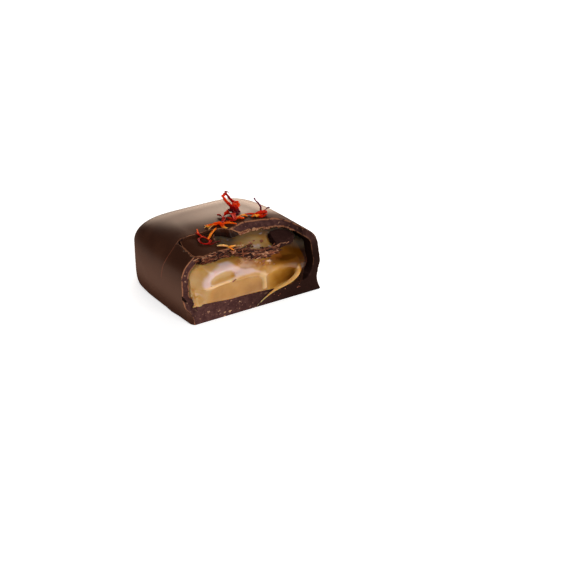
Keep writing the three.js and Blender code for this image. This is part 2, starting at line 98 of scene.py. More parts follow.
def lumps(x, y, z, size, seed=0):
    """Smooth noise between -1 and 1, its lumps about size millimetres apart."""
    cells = []
    shares = []
    for place, step in ((x, 5.17), (y, 3.71), (z, 7.43)):
        place = np.asarray(place, float) / size + step * (seed + 1)
        cell = np.floor(place)
        share = place - cell
        cells.append(cell.astype(int))
        shares.append(share ** 3 * (share * (share * 6 - 15) + 10))
    total = 0
    for i in (0, 1):
        for j in (0, 1):
            for k in (0, 1):
                corner = LATTICE[(cells[0] + i) & 31, (cells[1] + j) & 31, (cells[2] + k) & 31]
                weight = shares[0] if i else 1 - shares[0]
                weight = weight * (shares[1] if j else 1 - shares[1])
                total = total + corner * weight * (shares[2] if k else 1 - shares[2])
    return total


def crests(x, y, z, size, seed=0):
    """1 along thin winding crests about size millimetres apart, 0 between them."""
    return np.clip(1 - np.abs(lumps(x, y, z, size, seed)) / 0.3, 0, 1)


def inset(x, y):
    """How far in from the widest outline a point of the plan lies."""
    x, y = np.abs(x), np.abs(y)
    wide, long, power = HALF_WIDTH, HALF_LENGTH, CORNER_POWER
    slim = (long - SHOULDER_REACH) / (wide - SHOULDER_REACH)
    far_in = wide - (x ** power + (y / slim) ** power) ** (1 / power)
    near = np.minimum(wide - x, long - y)
    for _ in range(4):
        squeezed = y * (wide - near) / (long - near)
        reach = (x ** power + squeezed ** power) ** (1 / power) + 1e-9
        slope = 1 - (squeezed / reach) ** (power - 1) * y * (long - wide) / (long - near) ** 2
        near = near - (reach - (wide - near)) / slope
    return np.where(far_in > SHOULDER_REACH, far_in, near)


def wall_inset(z, right):
    """How far in the wall stands at a height, from the left side (0) to the right (1)."""
    z = np.clip(z, 0, SHOULDER_HEIGHT)
    rounded = 0.45 * np.exp(-z / 0.9) + 0.1 * (1 - z / SHOULDER_HEIGHT)
    waist = 2.6
    below = 0.5 + 0.8 * np.sin(np.clip(z / waist, 0, 1) * math.pi / 2)
    above = 0.65 * (1 + np.cos(math.pi * np.clip((z - waist) / (SHOULDER_HEIGHT - waist), 0, 1)))
    return mix(rounded, np.where(z < waist, below, above), right)


def pillow(x, y, z, coat, floor, fillet):
    """Distance outside the pillow shape set in by coat, negative inside it."""
    w = inset(x, y)
    right = ease(-9, 9, x)
    wall = wall_inset(z, right) + coat - w
    reach = SHOULDER_REACH - coat
    rise = HEIGHT - CROWN - coat - SHOULDER_HEIGHT
    across = np.maximum(SHOULDER_REACH - w, 0) / reach
    up = np.maximum(z - SHOULDER_HEIGHT, 0) / rise
    radius = np.sqrt(across ** 2 + up ** 2) + 1e-9
    shoulder = (radius - 1) * radius / np.sqrt((across / reach) ** 2 + (up / rise) ** 2 + 1e-9)
    crown = z - (HEIGHT - CROWN - coat) - CROWN * ease(SHOULDER_REACH, HALF_WIDTH, w)
    over = np.where(w < SHOULDER_REACH, shoulder, crown)
    side = np.where(z < SHOULDER_HEIGHT, wall, over)
    return larger(side, floor - z, fillet)


def outline_distance(x, y, corners):
    """Distance outside a closed outline, negative inside it."""
    nearest = 1e9
    inside = False
    for (x0, y0), (x1, y1) in zip(corners, corners[1:] + corners[:1]):
        along_x, along_y = x1 - x0, y1 - y0
        px, py = x - x0, y - y0
        share = np.clip((px * along_x + py * along_y) / (along_x ** 2 + along_y ** 2), 0, 1)
        nearest = np.minimum(nearest, (px - along_x * share) ** 2 + (py - along_y * share) ** 2)
        crosses = ((y0 > y) != (y1 > y)) & (px < along_x * py / (along_y or 1))
        inside = inside ^ crosses
    return np.where(inside, -1, 1) * np.sqrt(nearest)


def path_distance(x, y, points):
    """Distance in a plane from an open line of points."""
    nearest = 1e9
    for (x0, y0), (x1, y1) in zip(points, points[1:]):
        along_x, along_y = x1 - x0, y1 - y0
        share = ((x - x0) * along_x + (y - y0) * along_y) / (along_x ** 2 + along_y ** 2)
        share = np.clip(share, 0, 1)
        gap = (x - x0 - along_x * share) ** 2 + (y - y0 - along_y * share) ** 2
        nearest = np.minimum(nearest, gap)
    return np.sqrt(nearest)


def spaced(*stretches):
    """Places along an axis, from stretches given as (start, end, spacing)."""
    runs = [np.arange(start, end, spacing) for start, end, spacing in stretches]
    return np.concatenate(runs + [[stretches[-1][1]]])


def sculpt(field, xs, ys, zs):
    """Points and four-sided faces of the closed surface where field is zero.

    field gives a rough distance, negative inside. It is first looked at in blocks, so that
    only the places near the surface are worked out in full."""
    axes = (xs, ys, zs)
    size = 4
    starts = [np.arange(0, len(axis), size) for axis in axes]
    ends = [np.minimum(start + size, len(axis) - 1) for start, axis in zip(starts, axes)]
    middles = [(axis[a] + axis[b]) / 2 for axis, a, b in zip(axes, starts, ends)]
    widths = [axis[b] - axis[a] for axis, a, b in zip(axes, starts, ends)]
    grid = [np.reshape(m, np.roll((-1, 1, 1), k)) for k, m in enumerate(middles)]
    spans = [np.reshape(w, np.roll((-1, 1, 1), k)) for k, w in enumerate(widths)]
    values = field(*grid)
    reach = 0.75 * np.sqrt(spans[0] ** 2 + spans[1] ** 2 + spans[2] ** 2) + 0.1
    near = np.abs(values) < reach
    for axis in range(3):
        values = np.repeat(values, size, axis)
        near = np.repeat(near, size, axis)
    values = values[:len(xs), :len(ys), :len(zs)].copy()
    near = near[:len(xs), :len(ys), :len(zs)]
    i, j, k = np.nonzero(near)
    values[i, j, k] = field(xs[i], ys[j], zs[k])

    inside = values < 0
    corners = [(a, b, c) for a in (0, 1) for b in (0, 1) for c in (0, 1)]
    shape = [n - 1 for n in inside.shape]
    filled = sum(
        inside[a:a + shape[0], b:b + shape[1], c:c + shape[2]].astype(np.int8) for a, b, c in corners)
    cells = np.argwhere((filled > 0) & (filled < 8))
    number = np.full(shape, -1)
    number[tuple(cells.T)] = np.arange(len(cells))
    total = np.zeros((len(cells), 3))
    hits = np.zeros(len(cells))
    for start in corners:
        for axis in range(3):
            if start[axis]:
                continue
            end = tuple(np.add(start, np.roll((1, 0, 0), axis)))
            first, last = cells + start, cells + end
            v0, v1 = values[tuple(first.T)], values[tuple(last.T)]
            crossing = (v0 < 0) != (v1 < 0)
            share = np.where(crossing, v0 / np.where(crossing, v0 - v1, 1), 0)[:, None]
            p0 = np.stack([axis_[n] for axis_, n in zip(axes, first.T)], 1)
            p1 = np.stack([axis_[n] for axis_, n in zip(axes, last.T)], 1)
            total += np.where(crossing[:, None], mix(p0, p1, share), 0)
            hits += crossing
    points = total / hits[:, None]

    faces = []
    for axis in range(3):
        u, v = np.roll((0, 1, 0), axis), np.roll((0, 0, 1), axis)
        here = inside
        there = np.roll(inside, -1, axis)
        edges = here != there
        edges[tuple(slice(-1, None) if a == axis else slice(None) for a in range(3))] = False
        for side in (np.argmax(u), np.argmax(v)):
            for ends_ in (slice(0, 1), slice(-1, None)):
                edges[tuple(ends_ if a == side else slice(None) for a in range(3))] = False
        places = np.argwhere(edges)
        outward = here[tuple(places.T)]
        ring = [number[tuple((places - step).T)] for step in (0 * u, u, u + v, v)]
        quads = np.stack(ring, 1)
        quads[~outward] = quads[~outward][:, ::-1]
        faces.append(quads)

    # The points are drawn onto the surface, along the way that the field falls fastest.
    step = 0.02
    farthest = 0.12
    for _ in range(2):
        x, y, z = points.T
        value = field(x, y, z)
        ahead = (field(x + step, y, z), field(x, y + step, z), field(x, y, z + step))
        slope = np.stack([moved - value for moved in ahead], 1) / step
        move = value / np.maximum((slope ** 2).sum(1), 0.3)
        points = points - slope * np.clip(move, -farthest, farthest)[:, None]
    return points, np.concatenate(faces)


def make_piece(name, points, faces, attributes, material):
    """An object of that mesh, with a number for each of its points under each attribute."""
    mesh = bpy.data.meshes.new(name)
    placed = (np.asarray(points) + (0, CUT, 0)) * MM
    mesh.from_pydata(placed.tolist(), [], [[int(k) for k in face] for face in faces])
    for title, values in attributes.items():
        layer = mesh.attributes.new(title, "FLOAT", "POINT")
        layer.data.foreach_set("value", np.broadcast_to(values, len(points)).astype(np.float32))
    mesh.polygons.foreach_set("use_smooth", [True] * len(mesh.polygons))
    mesh.materials.append(material)
    piece = bpy.data.objects.new(name, mesh)
    bpy.context.scene.collection.objects.link(piece)
    return piece


def linear(code):
    """A colour from its sRGB hex code, as a node's colour value."""
    parts = [int(code[k:k + 2], 16) / 255 for k in (1, 3, 5)]
    return [c / 12.92 if c <= 0.04045 else ((c + 0.055) / 1.055) ** 2.4 for c in parts] + [1]


def add(tree, kind, inputs=None, **settings):
    """One shader node. inputs maps a socket to its value, or to what feeds it."""
    made = tree.nodes.new("ShaderNode" + kind)
    for name, value in settings.items():
        setattr(made, name, value)
    for socket, value in (inputs or {}).items():
        if isinstance(value, bpy.types.Node):
            value = value.outputs[0]
        if isinstance(value, bpy.types.NodeSocket):
            tree.links.new(value, made.inputs[socket])
        else:
            made.inputs[socket].default_value = value
    return made


def new_material(name):
    """A material with its node tree emptied down to the surface output."""
    material = bpy.data.materials.new(name)
    material.use_nodes = True
    tree = material.node_tree
    tree.nodes.clear()
    return material, tree, tree.nodes.new("ShaderNodeOutputMaterial")


# Outline of the hole in the roof at its top surface, from the left wall's front end
# round the back to the right wall and across the front.
ROOF_HOLE = [
    (-11.4, 2.2), (-11.25, 4.4), (-11.1, 7.0), (-10.9, 8.7), (-10.0, 9.25), (-8.4, 9.0),
    (-5.3, 8.95), (-3.6, 8.7), (-2.4, 7.8), (-1.6, 6.8), (-0.1, 7.4), (1.3, 7.9), (3.2, 8.4),
    (6.0, 8.5), (8.3, 7.9), (9.8, 6.4), (10.7, 4.4), (11.3, 2.0), (11.7, -3.0), (-11.6, -3.0),
]
# A crack down the left wall, as heights and how far behind the cut it runs.
CRACK_HEIGHTS = (4.67, 5.78, 7.3, 9.44, 10.02, 10.74, 11.3, 11.64)
CRACK_DEPTHS = (8.88, 9.4, 8.9, 8.03, 7.95, 7.95, 8.2, 8.6)
# Where the left wall's skin meets the bottom's cut, from the table upwards: (Z, X).
FOOT_HEIGHTS = (0, 0.36, 0.87, 1.4, 1.9, 2.3, 2.65, 3.4)
FOOT_PLACES = (-12.9, -12.87, -12.77, -12.82, -12.98, -13.26, -13.64, -14.3)
NOTCH = [(-14.05, 2.25, 4.65), (-13.3, 2.1, 3.65)]  # a nick in the left wall's broken edge
NOTCH_RADII = (0.2, 0.13)
# A soft ridge low on the left wall, where the chocolate ran: (Y, Z).
LEFT_RIDGE = [(16.7, 6.1), (15.7, 5.7), (14.1, 3.9), (13.1, 2.4)]


def past_corner(x, z):
    """How far left of the bottom's cut face a place in front lies, where skin wraps round."""
    return np.interp(z, FOOT_HEIGHTS, FOOT_PLACES) - x


def broken_front(x, z):
    """How far behind the cut the coat's front edge stands."""
    reach = mix(-12.9, -10.6, ease(4.0, 6.0, z))
    left = LEFT_SETBACK * ease(-0.2, 4.6, z) * (1 - ease(reach, reach + 0.7, x))
    right = RIGHT_SETBACK * ease(5, 8, z) * ease(10.5, 11.5, x)
    corner = 1.3 * np.maximum(past_corner(x, z), 0)
    return np.maximum(left, corner) + right


def front_step(x, y, z):
    """Where the left wall stands proud in front of its crack, from 0 to 1."""
    crack = np.interp(z, CRACK_HEIGHTS, CRACK_DEPTHS)
    return ease(0.08, -0.08, y - crack) * ease(4.2, 6.5, z) * ease(-9, -10.5, x)


def coat_surfaces(x, y, z):
    """Distances outside the skin, the cavity's lining, the broken front and the roof's break."""
    ran = 0.1 * bump(path_distance(y, z, LEFT_RIDGE), 1.1) * ease(-9, -11, x)
    foot = 0.12 * lumps(x, y, 0, 2.6, 1) * np.exp(-np.maximum(z, 0) / 1.2)
    skin = pillow(x, y, z, 0, -1, 0.35) - 0.045 * front_step(x, y, z) - ran + foot
    skin = larger(skin + mix(0.05, 0.015, ease(9, 12, z)) * lumps(x, y, z, 7, 2), -z, 0.3)
    lining = -pillow(x, y, z, COAT, floor_height(x), FLOOR_FILLET)
    rim = 0.07 * bump(skin, 0.12) + 0.06 * bump(lining, 0.12)
    upper = ease(2.6, 3.6, z)
    crag = mix(0.02, 0.07, upper) * lumps(x, 0, z, 0.8, 3)
    crag = crag + mix(0.015, 0.05, upper) * lumps(x, 0, z, CHIP, 4)
    pits = 0.3 * np.maximum(lumps(x, 0, z, 0.55, 5) - 0.5, 0) * (1 - upper)
    front = broken_front(x, z) + crag + pits - rim - y
    lean = ease(-4, -1.5, x) * (1 - ease(8, 10, x)) * ease(3, 6, y)
    back = y - ROOF_LEAN * lean * (z - HEIGHT)
    ragged = 0.2 * lumps(x, y, 0, 1.1, 6) + 0.07 * lumps(x, y, z, CHIP, 7)
    hole = outline_distance(x, back, ROOF_HOLE) + ragged + 0.05 * bump(lining, 0.15)
    roof = -np.maximum(hole, BREAK_HEIGHT - z)
    return skin, lining, front, roof


def floor_height(x):
    """Height of the bottom's inner surface, which rises towards the left wall."""
    return FLOOR - 0.2 + 0.4 * ease(6, -4, x) + 0.4 * ease(-5, -10.5, x)


def strand_distance(x, y, z, points, radii, flat=1.0):
    """Distance outside a chain of round lengths that taper from radius to radius."""
    nearest = 1e9
    for p, q, start, end in zip(points, points[1:], radii, radii[1:]):
        dx, dy, dz = (b - a for a, b in zip(p, q))
        px, py, pz = x - p[0], y - p[1], z - p[2]
        share = np.clip((px * dx + py * dy + pz * dz) / (dx ** 2 + dy ** 2 + dz ** 2), 0, 1)
        away = (px - dx * share) ** 2 + ((py - dy * share) / flat) ** 2 + (pz - dz * share) ** 2
        nearest = np.minimum(nearest, np.sqrt(away) - mix(start, end, share))
    return nearest * flat


def coat_field(x, y, z):
    skin, lining, front, roof = coat_surfaces(x, y, z)
    notch = -strand_distance(x, y, z, NOTCH, NOTCH_RADII)
    body = larger(np.maximum(skin, lining), front, EDGE_ROUNDING)
    return larger(larger(body, roof, EDGE_ROUNDING), notch, 0.05)


coat_points, coat_faces = sculpt(
    coat_field,
    spaced((-14.4, 14.4, 0.16)),
    spaced((-0.6, 3.6, 0.13), (3.6, 11, 0.18), (11, 25.2, 0.4)),
    spaced((-0.24, 13.6, 0.15)),
)


COCOA_BUTTER_IOR = 1.48


def dark_chocolate():
    """Set dark chocolate. Its skin is satin, near black-brown, with a soft sheen on top.
    Where it is broken it is matte and purple-brown, with paler crumbs and a thin pale line
    where the skin ends."""
    material, tree, output = new_material("set_dark_chocolate")
    place = add(tree, "TexCoord").outputs["Object"]
    depth, lining, edge, crack, dusk, sheen, bloom = (
        add(tree, "Attribute", attribute_name=mark).outputs["Fac"]
        for mark in ("depth", "lining", "edge", "crack", "dusk", "sheen", "bloom"))
    smooth = {"interpolation_type": "SMOOTHSTEP"}
    rgb = {"data_type": "RGBA"}
    multiply = {"operation": "MULTIPLY"}

    cloud, patch, grain, ripple = (
        add(tree, "TexNoise", {"Vector": place, "Scale": 1 / (size * MM), "Detail": detail}).outputs[0]
        for size, detail in ((4, 3.0), (0.7, 2.0), (0.16, 4.0), (2.2, 2.0)))
    patchy = add(tree, "MapRange", {0: patch, 1: 0.32, 2: 0.46}, **smooth)

    # The skin: darker and lighter clouds, a paler tone low on the left wall that is painted light
    # from the white table, painted shade on its lining side, a thin pale line along its broken
    # edges and a crack.
    clouds = add(tree, "MapRange", {0: cloud, 1: 0.35, 2: 0.7}, **smooth)
    skin = add(
        tree, "Mix", {0: clouds, 6: linear("#391d12"), 7: linear("#432518")}, **rgb).outputs[2]
    # Painted light: the skin is paler low on the left wall, as if lit from the white table.
    skin = add(tree, "Mix", {0: bloom, 6: skin, 7: linear("#5e3e30")}, **rgb).outputs[2]
    # Painted shade: skin colour that lies deep in the coat, on its lining side, is darkened.
    inner = add(tree, "MapRange", {0: depth, 1: 0.4, 2: 0.9, 4: 0.85}, **smooth)
    skin = add(tree, "Mix", {0: inner, 6: skin, 7: linear("#1c0f0b")}, **rgb).outputs[2]
    beside = add(tree, "MapRange", {0: edge, 1: 0.13, 2: 0.04}, **smooth)
    beside = add(tree, "Math", {0: beside, 1: patchy}, **multiply)
    skin = add(tree, "Mix", {0: beside, 6: skin, 7: linear("#8a5a40")}, **rgb).outputs[2]
    in_crack = add(tree, "MapRange", {0: crack, 1: 0.14, 2: 0.05}, **smooth)
    skin = add(tree, "Mix", {0: in_crack, 6: skin, 7: linear("#7d4431")}, **rgb).outputs[2]

    # The broken chocolate: mottled, with crumbs of cocoa stretched along the knife's path.
    mottle = add(tree, "MapRange", {0: patch, 1: 0.35, 2: 0.65}, **smooth)
    matte = add(
        tree, "Mix", {0: mottle, 6: linear("#432927"), 7: linear("#523531")}, **rgb).outputs[2]
    # Painted shade darkens the broken chocolate; where it is dark, crumbs and pale lines fade.
    matte = add(tree, "Mix", {0: dusk, 6: matte, 7: linear("#22130f")}, **rgb).outputs[2]
    warp = add(tree, "TexNoise", {"Vector": place, "Scale": 1 / (0.3 * MM)}).outputs[1]
    bent = add(tree, "VectorMath", {0: warp, 1: (0.7 * MM, 0.6 * MM, 0.6 * MM)}, **multiply)
    bent = add(tree, "VectorMath", {0: place, 1: bent}, operation="ADD")
    bent = add(tree, "VectorMath", {0: bent, 1: (0.7, 1.0, 1.2)}, **multiply)
    clear = add(tree, "MapRange", {0: dusk, 1: 0.8, 2: 0.1}, **smooth)
    rarest = 0.5
    for spacing, widest, code in ((0.75, 0.35, "#b58a6a"), (0.4, 0.42, "#825c4b")):
        cells = add(tree, "TexVoronoi", {"Vector": bent, "Scale": 1 / (spacing * MM)})
        chance = add(tree, "SeparateColor", {0: cells.outputs["Color"]}).outputs[0]
        radius = add(tree, "MapRange", {0: chance, 1: rarest, 2: 1.0, 4: widest})
        fleck = add(tree, "Math", {0: radius, 1: cells.outputs["Distance"]}, operation="SUBTRACT")
        fleck = add(tree, "MapRange", {0: fleck, 1: 0.0, 2: 0.1}, **smooth)
        fleck = add(tree, "Math", {0: fleck, 1: clear}, **multiply)
        matte = add(tree, "Mix", {0: fleck, 6: matte, 7: linear(code)}, **rgb).outputs[2]
    # Thin pale lines run along it where the skin and the lining end.
    for face, far, close, code in ((depth, 0.28, 0.1, "#a06a4c"), (lining, 0.3, 0.12, "#a8714f")):
        line = add(tree, "MapRange", {0: face, 1: far, 2: close}, **smooth)
        line = add(tree, "Math", {0: line, 1: patchy}, **multiply)
        line = add(tree, "Math", {0: line, 1: clear}, **multiply)
        matte = add(tree, "Mix", {0: line, 6: matte, 7: linear(code)}, **rgb).outputs[2]

    below = add(tree, "MapRange", {0: depth, 1: 0.03, 2: 0.07}, **smooth)
    within = add(tree, "MapRange", {0: lining, 1: 0.03, 2: 0.07}, **smooth)
    broken = add(tree, "Math", {0: below, 1: within}, **multiply)
    colour = add(tree, "Mix", {0: broken, 6: skin, 7: matte}, **rgb).outputs[2]
    rough = add(tree, "MapRange", {0: cloud, 3: 0.34, 4: 0.38})
    rough = add(tree, "Mix", {0: broken, 2: rough, 3: 0.62})
    craggy = add(tree, "Math", {0: grain, 1: broken}, **multiply)
    relief = add(tree, "Math", {0: ripple, 1: 0.02, 2: craggy}, operation="MULTIPLY_ADD")
    raised = add(tree, "Bump", {"Strength": 0.7, "Distance": 0.09 * MM, "Height": relief})
    dull = add(tree, "BsdfPrincipled", {
        "Base Color": colour, "Roughness": 0.6, "IOR": COCOA_BUTTER_IOR, "Specular IOR Level": 0.0,
        "Normal": raised})
    gloss = add(tree, "BsdfAnisotropic", {
        "Color": linear("#fff0e2"), "Roughness": rough, "Normal": raised})
    glance = add(tree, "Fresnel", {"IOR": COCOA_BUTTER_IOR, "Normal": raised})
    glance = add(tree, "MapRange", {0: glance, 1: 0.04, 2: 0.35, 3: 0.08, 4: 0.15})
    shown = add(tree, "Math", {0: broken, 1: -0.9, 2: 1.0}, operation="MULTIPLY_ADD")
    shown = add(tree, "Math", {0: shown, 1: sheen}, **multiply)
    shown = add(tree, "Math", {0: shown, 1: glance}, **multiply)
    surface = add(tree, "MixShader", {0: shown, 1: dull.outputs[0], 2: gloss.outputs[0]})
    tree.links.new(surface.outputs[0], output.inputs[0])
    return material


CHOCOLATE = dark_chocolate()
x, y, z = coat_points.T
skin, lining, front, roof = coat_surfaces(x, y, z)
coat_marks = {
    "depth": np.maximum(-skin, 0), "lining": np.maximum(-lining, 0),
    "edge": np.minimum(np.abs(front), np.abs(roof)),
}
NO_CRACK = 9.0  # a distance at which no crack shows
coat_marks["crack"] = np.abs(y - np.interp(z, CRACK_HEIGHTS, CRACK_DEPTHS))
coat_marks["crack"] += NO_CRACK * (1 - ease(4.2, 5.6, z) * ease(-10, -10.8, x))
wraps = ease(0, 0.08, past_corner(x, z)) * ease(3.2, 2.8, z) * ease(2.5, 2.0, y)
coat_marks["depth"] = mix(coat_marks["depth"], 0, wraps)
coat_marks["edge"] = mix(coat_marks["edge"], past_corner(x, z), wraps)
# Its gloss is strongest on top and towards the back, and nearly gone where it was handled.
POLISHED = [
    (-10.9, 30.0), (-10.9, 16.5), (-10.3, 13.8), (-8.6, 12.0), (-4.7, 10.9), (-2.0, 10.6),
    (1.0, 10.6), (4.0, 10.4), (14.0, 9.3), (20.0, 30.0),
]
polish = ease(1.6, -3.4, outline_distance(x, y, POLISHED)) * ease(8.0, 11.0, z)
polish = polish * mix(0.65, 1.1, ease(-8, 5, x)) * mix(1, 0.85, ease(19, 21, y) * ease(5, -5, x))
polish = polish * mix(1, mix(0.5, 1, ease(12.0, 16.5, y)), ease(4, 0, x))
coat_marks["sheen"] = mix(mix(0.06, 0.15, ease(1.5, 4.5, z)), 1, polish)
# Painted shade on the broken chocolate: darker on the bottom's cut towards the right, on the
# roof's edge behind the fallen plate, on the right wall's edge and in the nick.
nick = ease(0.1, 0.02, strand_distance(x, y, z, NOTCH, NOTCH_RADII))
coat_marks["dusk"] = np.maximum.reduce([
    0.95 * ease(-8, 8, x) * ease(4, 3, z),
    0.6 * ease(-1.2, -2.2, x) * ease(3, 6, y) * ease(9, 10, z),
    mix(0.95, 0.6, ease(7, 10, z)) * ease(10.3, 11.6, x),
    nick,
])
# Painted light from the white table: the skin is paler low on the left wall.
coat_marks["bloom"] = ease(10.5, 4.5, z) * ease(0.3, 4.0, z) * ease(-9, -12, x)
# At the left the roof's break is undercut, and its lower part counts as lining, so that it
# takes the painted shade of the coat's lining side.
undercut = np.interp(x, (-1.7, -0.8, -0.1, 0.8), (1.4, 0.95, 0.45, 0))
undercut = undercut * ease(-10.0, -9.0, x) * ease(3, 5, y) * ease(9, 10, z)
coat_marks["lining"] = np.maximum(coat_marks["lining"] - undercut, 0)
coat_marks["lining"] = np.maximum(coat_marks["lining"], 0.5 * ease(4.6, 4.0, z))
coat_marks["edge"] = coat_marks["edge"] + ease(0.2, 0.8, undercut) * ease(0.1, 0.3, coat_marks["depth"])
# The nick and the foot of the bottom's cut show broken chocolate.
foot = ease(0.55, 0.25, z) * ease(-12.75, -12.6, x) * ease(1.2, 0.5, y)
coat_marks["depth"] = np.maximum.reduce([coat_marks["depth"], 0.6 * nick, 0.4 * foot])
coat = make_piece("coat", coat_points, coat_faces, coat_marks, CHOCOLATE)
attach(coat, "root")
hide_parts("chocolate_coat")


# ---------- caramel ----------
# Soft caramel of sugar, butter and cream that fills the coat and is thick enough to slump
# but not to run. It has swelled out of the cut, where one layer folds over the other, and
# it ends in a drip and in a string that was pulled out as the halves came apart.

BULGE = 0.75
CLING = 0.04  # how far it reaches into the chocolate round it, so that no gap shows
CLEARANCE = 0.02  # of its top below a fallen piece
TRENCH_HEIGHT = 10.75  # its top where the roof is gone
CARAMEL_END = 9.9  # where it stops short of the right wall, at the floor
BROW_PLACES = (-12.5, -9.7, -7.3, -3.5, -1.2, 1.3, 3.4, 7.2, 8.9, 10.5, 12.5)
BROW_HEIGHTS = (10.6, 10.3, 10.0, 10.1, 9.8, 8.9, 8.2, 7.8, 7.3, 6.9, 6.4)
# The lip where the upper layer folds over the lower one.
LIP_PLACES = (
    -12, -11.2, -10.4, -8.4, -7.1, -5.7, -4.3, -3.0, -1.6, -0.2, 0.5, 1.1, 1.9, 3.0, 4.7, 6.8, 8.6)
LIP_HEIGHTS = (
    5.9, 6.0, 6.2, 6.45, 6.5, 6.6, 6.5, 6.5, 6.5, 6.2, 5.9, 5.8, 6.0, 6.2, 6.35, 5.95, 5.2)
# The swollen edge of the folded layer, seen from the front: (X, Z).
FOLD = [(-4.6, 9.5), (-6.7, 9.5), (-8.0, 9.35), (-9.3, 9.0), (-10.2, 8.4), (-10.7, 7.7), (-10.7, 7.0)]
# Outline of the painted highlight on the fold, which hooks round a golden hollow: (X, Z).
PAINTED_HIGHLIGHT = [
    (-5.0, 9.6), (-5.4, 9.95), (-5.9, 10.25), (-6.5, 10.5), (-7.3, 10.25), (-8.1, 9.95),
    (-9.1, 9.7), (-9.9, 9.4), (-10.45, 8.9), (-10.9, 8.3), (-11.15, 7.6), (-11.2, 6.9),
    (-11.0, 6.3), (-10.5, 5.85), (-10.05, 5.9), (-9.15, 6.15), (-8.15, 6.5), (-7.0, 6.65),
    (-5.65, 6.4), (-5.05, 6.8), (-3.85, 7.1), (-2.5, 7.15), (-1.0, 7.2), (-0.15, 6.85), (0.75, 6.3),
    (1.8, 5.8), (1.9, 6.15), (1.1, 6.7), (0.1, 7.25), (-0.8, 7.7), (-1.3, 8.15), (-1.9, 8.35),
    (-2.8, 8.4), (-3.65, 8.7), (-4.5, 9.3),
]
# The golden hollow that the painted highlight goes round: its outline, and the middle of its dip.
GOLDEN = [
    (-9.95, 7.1), (-10.0, 7.7), (-9.7, 8.2), (-9.0, 8.6), (-7.9, 8.8), (-6.8, 8.85), (-5.8, 8.7),
    (-5.0, 8.1), (-5.0, 7.5), (-5.7, 7.2), (-7.0, 7.1), (-8.2, 7.05), (-9.25, 6.95),
]
HOLLOW = (-7.4, 7.9)
# Where the mass of caramel ends at the right, from the string upwards: (X, Z). Past it the
# caramel is painted nearly black, a painted shadow.
MASS_PLACES = (4.5, 5.6, 6.8, 7.7, 8.4, 8.9, 9.5, 10.0, 10.3, 10.7)
MASS_HEIGHTS = (2.4, 3.0, 3.45, 3.95, 4.5, 4.95, 5.7, 6.6, 7.6, 10.0)
DRIP = [(0.6, -0.5, 6.5), (1.0, -0.72, 5.7), (1.15, -0.72, 4.8), (1.2, -0.62, 3.85)]
DRIP_RADII = (0.6, 0.36, 0.26, 0.33)
STRING = [
    (8.85, 0.1, 5.7), (8.7, -0.25, 5.15), (8.2, -0.45, 4.6), (7.55, -0.55, 4.1), (6.65, -0.6, 3.62),
    (5.4, -0.6, 3.2), (4.2, -0.55, 2.9), (3.3, -0.5, 2.6), (2.4, -0.45, 2.17), (1.55, -0.38, 1.66),
    (0.7, -0.3, 1.1), (-0.2, -0.22, 0.42),
]
STRING_RADII = (0.3, 0.46, 0.49, 0.46, 0.4, 0.33, 0.29, 0.24, 0.18, 0.13, 0.09, 0.06)
SEEP = [(-12.0, 1.1, 5.4), (-12.0, 0.5, 4.5), (-12.05, 0.22, 3.8), (-12.4, 0.5, 3.4), (-12.58, 0.95, 2.95)]
SEEP_RADII = (0.45, 0.6, 0.42, 0.3, 0.14)
# The fallen pieces of the roof press the caramel down: where each turned about, how far it
# sank, how far it leans towards the front and the side (in radians), and its outline.
PLATE = {"hinge": (-11, 8.3), "sink": 0.15, "forward": 0.05, "sideways": 0.09}
PLATE["outline"] = [
    (-10.1, 8.75), (-10.6, 6.9), (-10.95, 4.0), (-10.7, 2.6), (-9.8, 1.6), (-8.9, 1.7), (-7.5, 2.0),
    (-6.3, 2.1), (-4.4, 2.0), (-5.2, 4.7), (-4.5, 6.9), (-3.7, 8.0), (-4.6, 8.6), (-6.5, 8.7),
    (-8.35, 8.75),
]
FLAP = {"hinge": (7, 5), "sink": 1.3, "forward": 0.16, "sideways": 0.0}
FLAP["outline"] = [
    (4.9, 1.5), (6.5, 1.2), (8.6, 1.9), (9.7, 2.7), (9.3, 4.4), (7.6, 5.1), (5.9, 4.9), (5.2, 3.4),
]


def roof_height(x, y):
    """Height of the coat's outer surface over a point of the plan."""
    w = np.maximum(inset(x, y), 0)
    turn = np.sqrt(1 - (1 - np.minimum(w / SHOULDER_REACH, 1)) ** 2)
    shoulder = mix(SHOULDER_HEIGHT, HEIGHT - CROWN, turn)
    return shoulder + CROWN * ease(SHOULDER_REACH, HALF_WIDTH, w)


def drop(piece, x, y):
    """How far a fallen piece lies below where it was in the roof."""
    hinge_x, hinge_y = piece["hinge"]
    return piece["sink"] + piece["forward"] * (hinge_y - y) + piece["sideways"] * (x - hinge_x)


def pressed(surface, piece, x, y):
    """The caramel's top pressed down by a piece of the coat that lies on it."""
    near = ease(1.0, 0.0, outline_distance(x, y, piece["outline"]))
    underside = roof_height(x, y) - COAT - drop(piece, x, y) - CLEARANCE
    return mix(surface, np.minimum(surface, underside), near)


def caramel_top(x, y):
    brow = np.interp(x, BROW_PLACES, BROW_HEIGHTS)
    trench = mix(TRENCH_HEIGHT, 8.6, ease(6, 12, x))
    under_roof = 3 * ease(7.6, 10.4, y) * ease(-1, -4, x) + 3 * ease(6.4, 9.6, y) * ease(-4, -1, x)
    wavy = 0.12 * lumps(x, y, 0, 1.7, 21) + 0.16 * lumps(x, y, 0, 3.2, 22) * ease(0.5, 3, y)
    surface = mix(brow, trench, ease(0.3, 4.2, y)) + wavy + under_roof
    return pressed(pressed(surface, PLATE, x, y), FLAP, x, y)


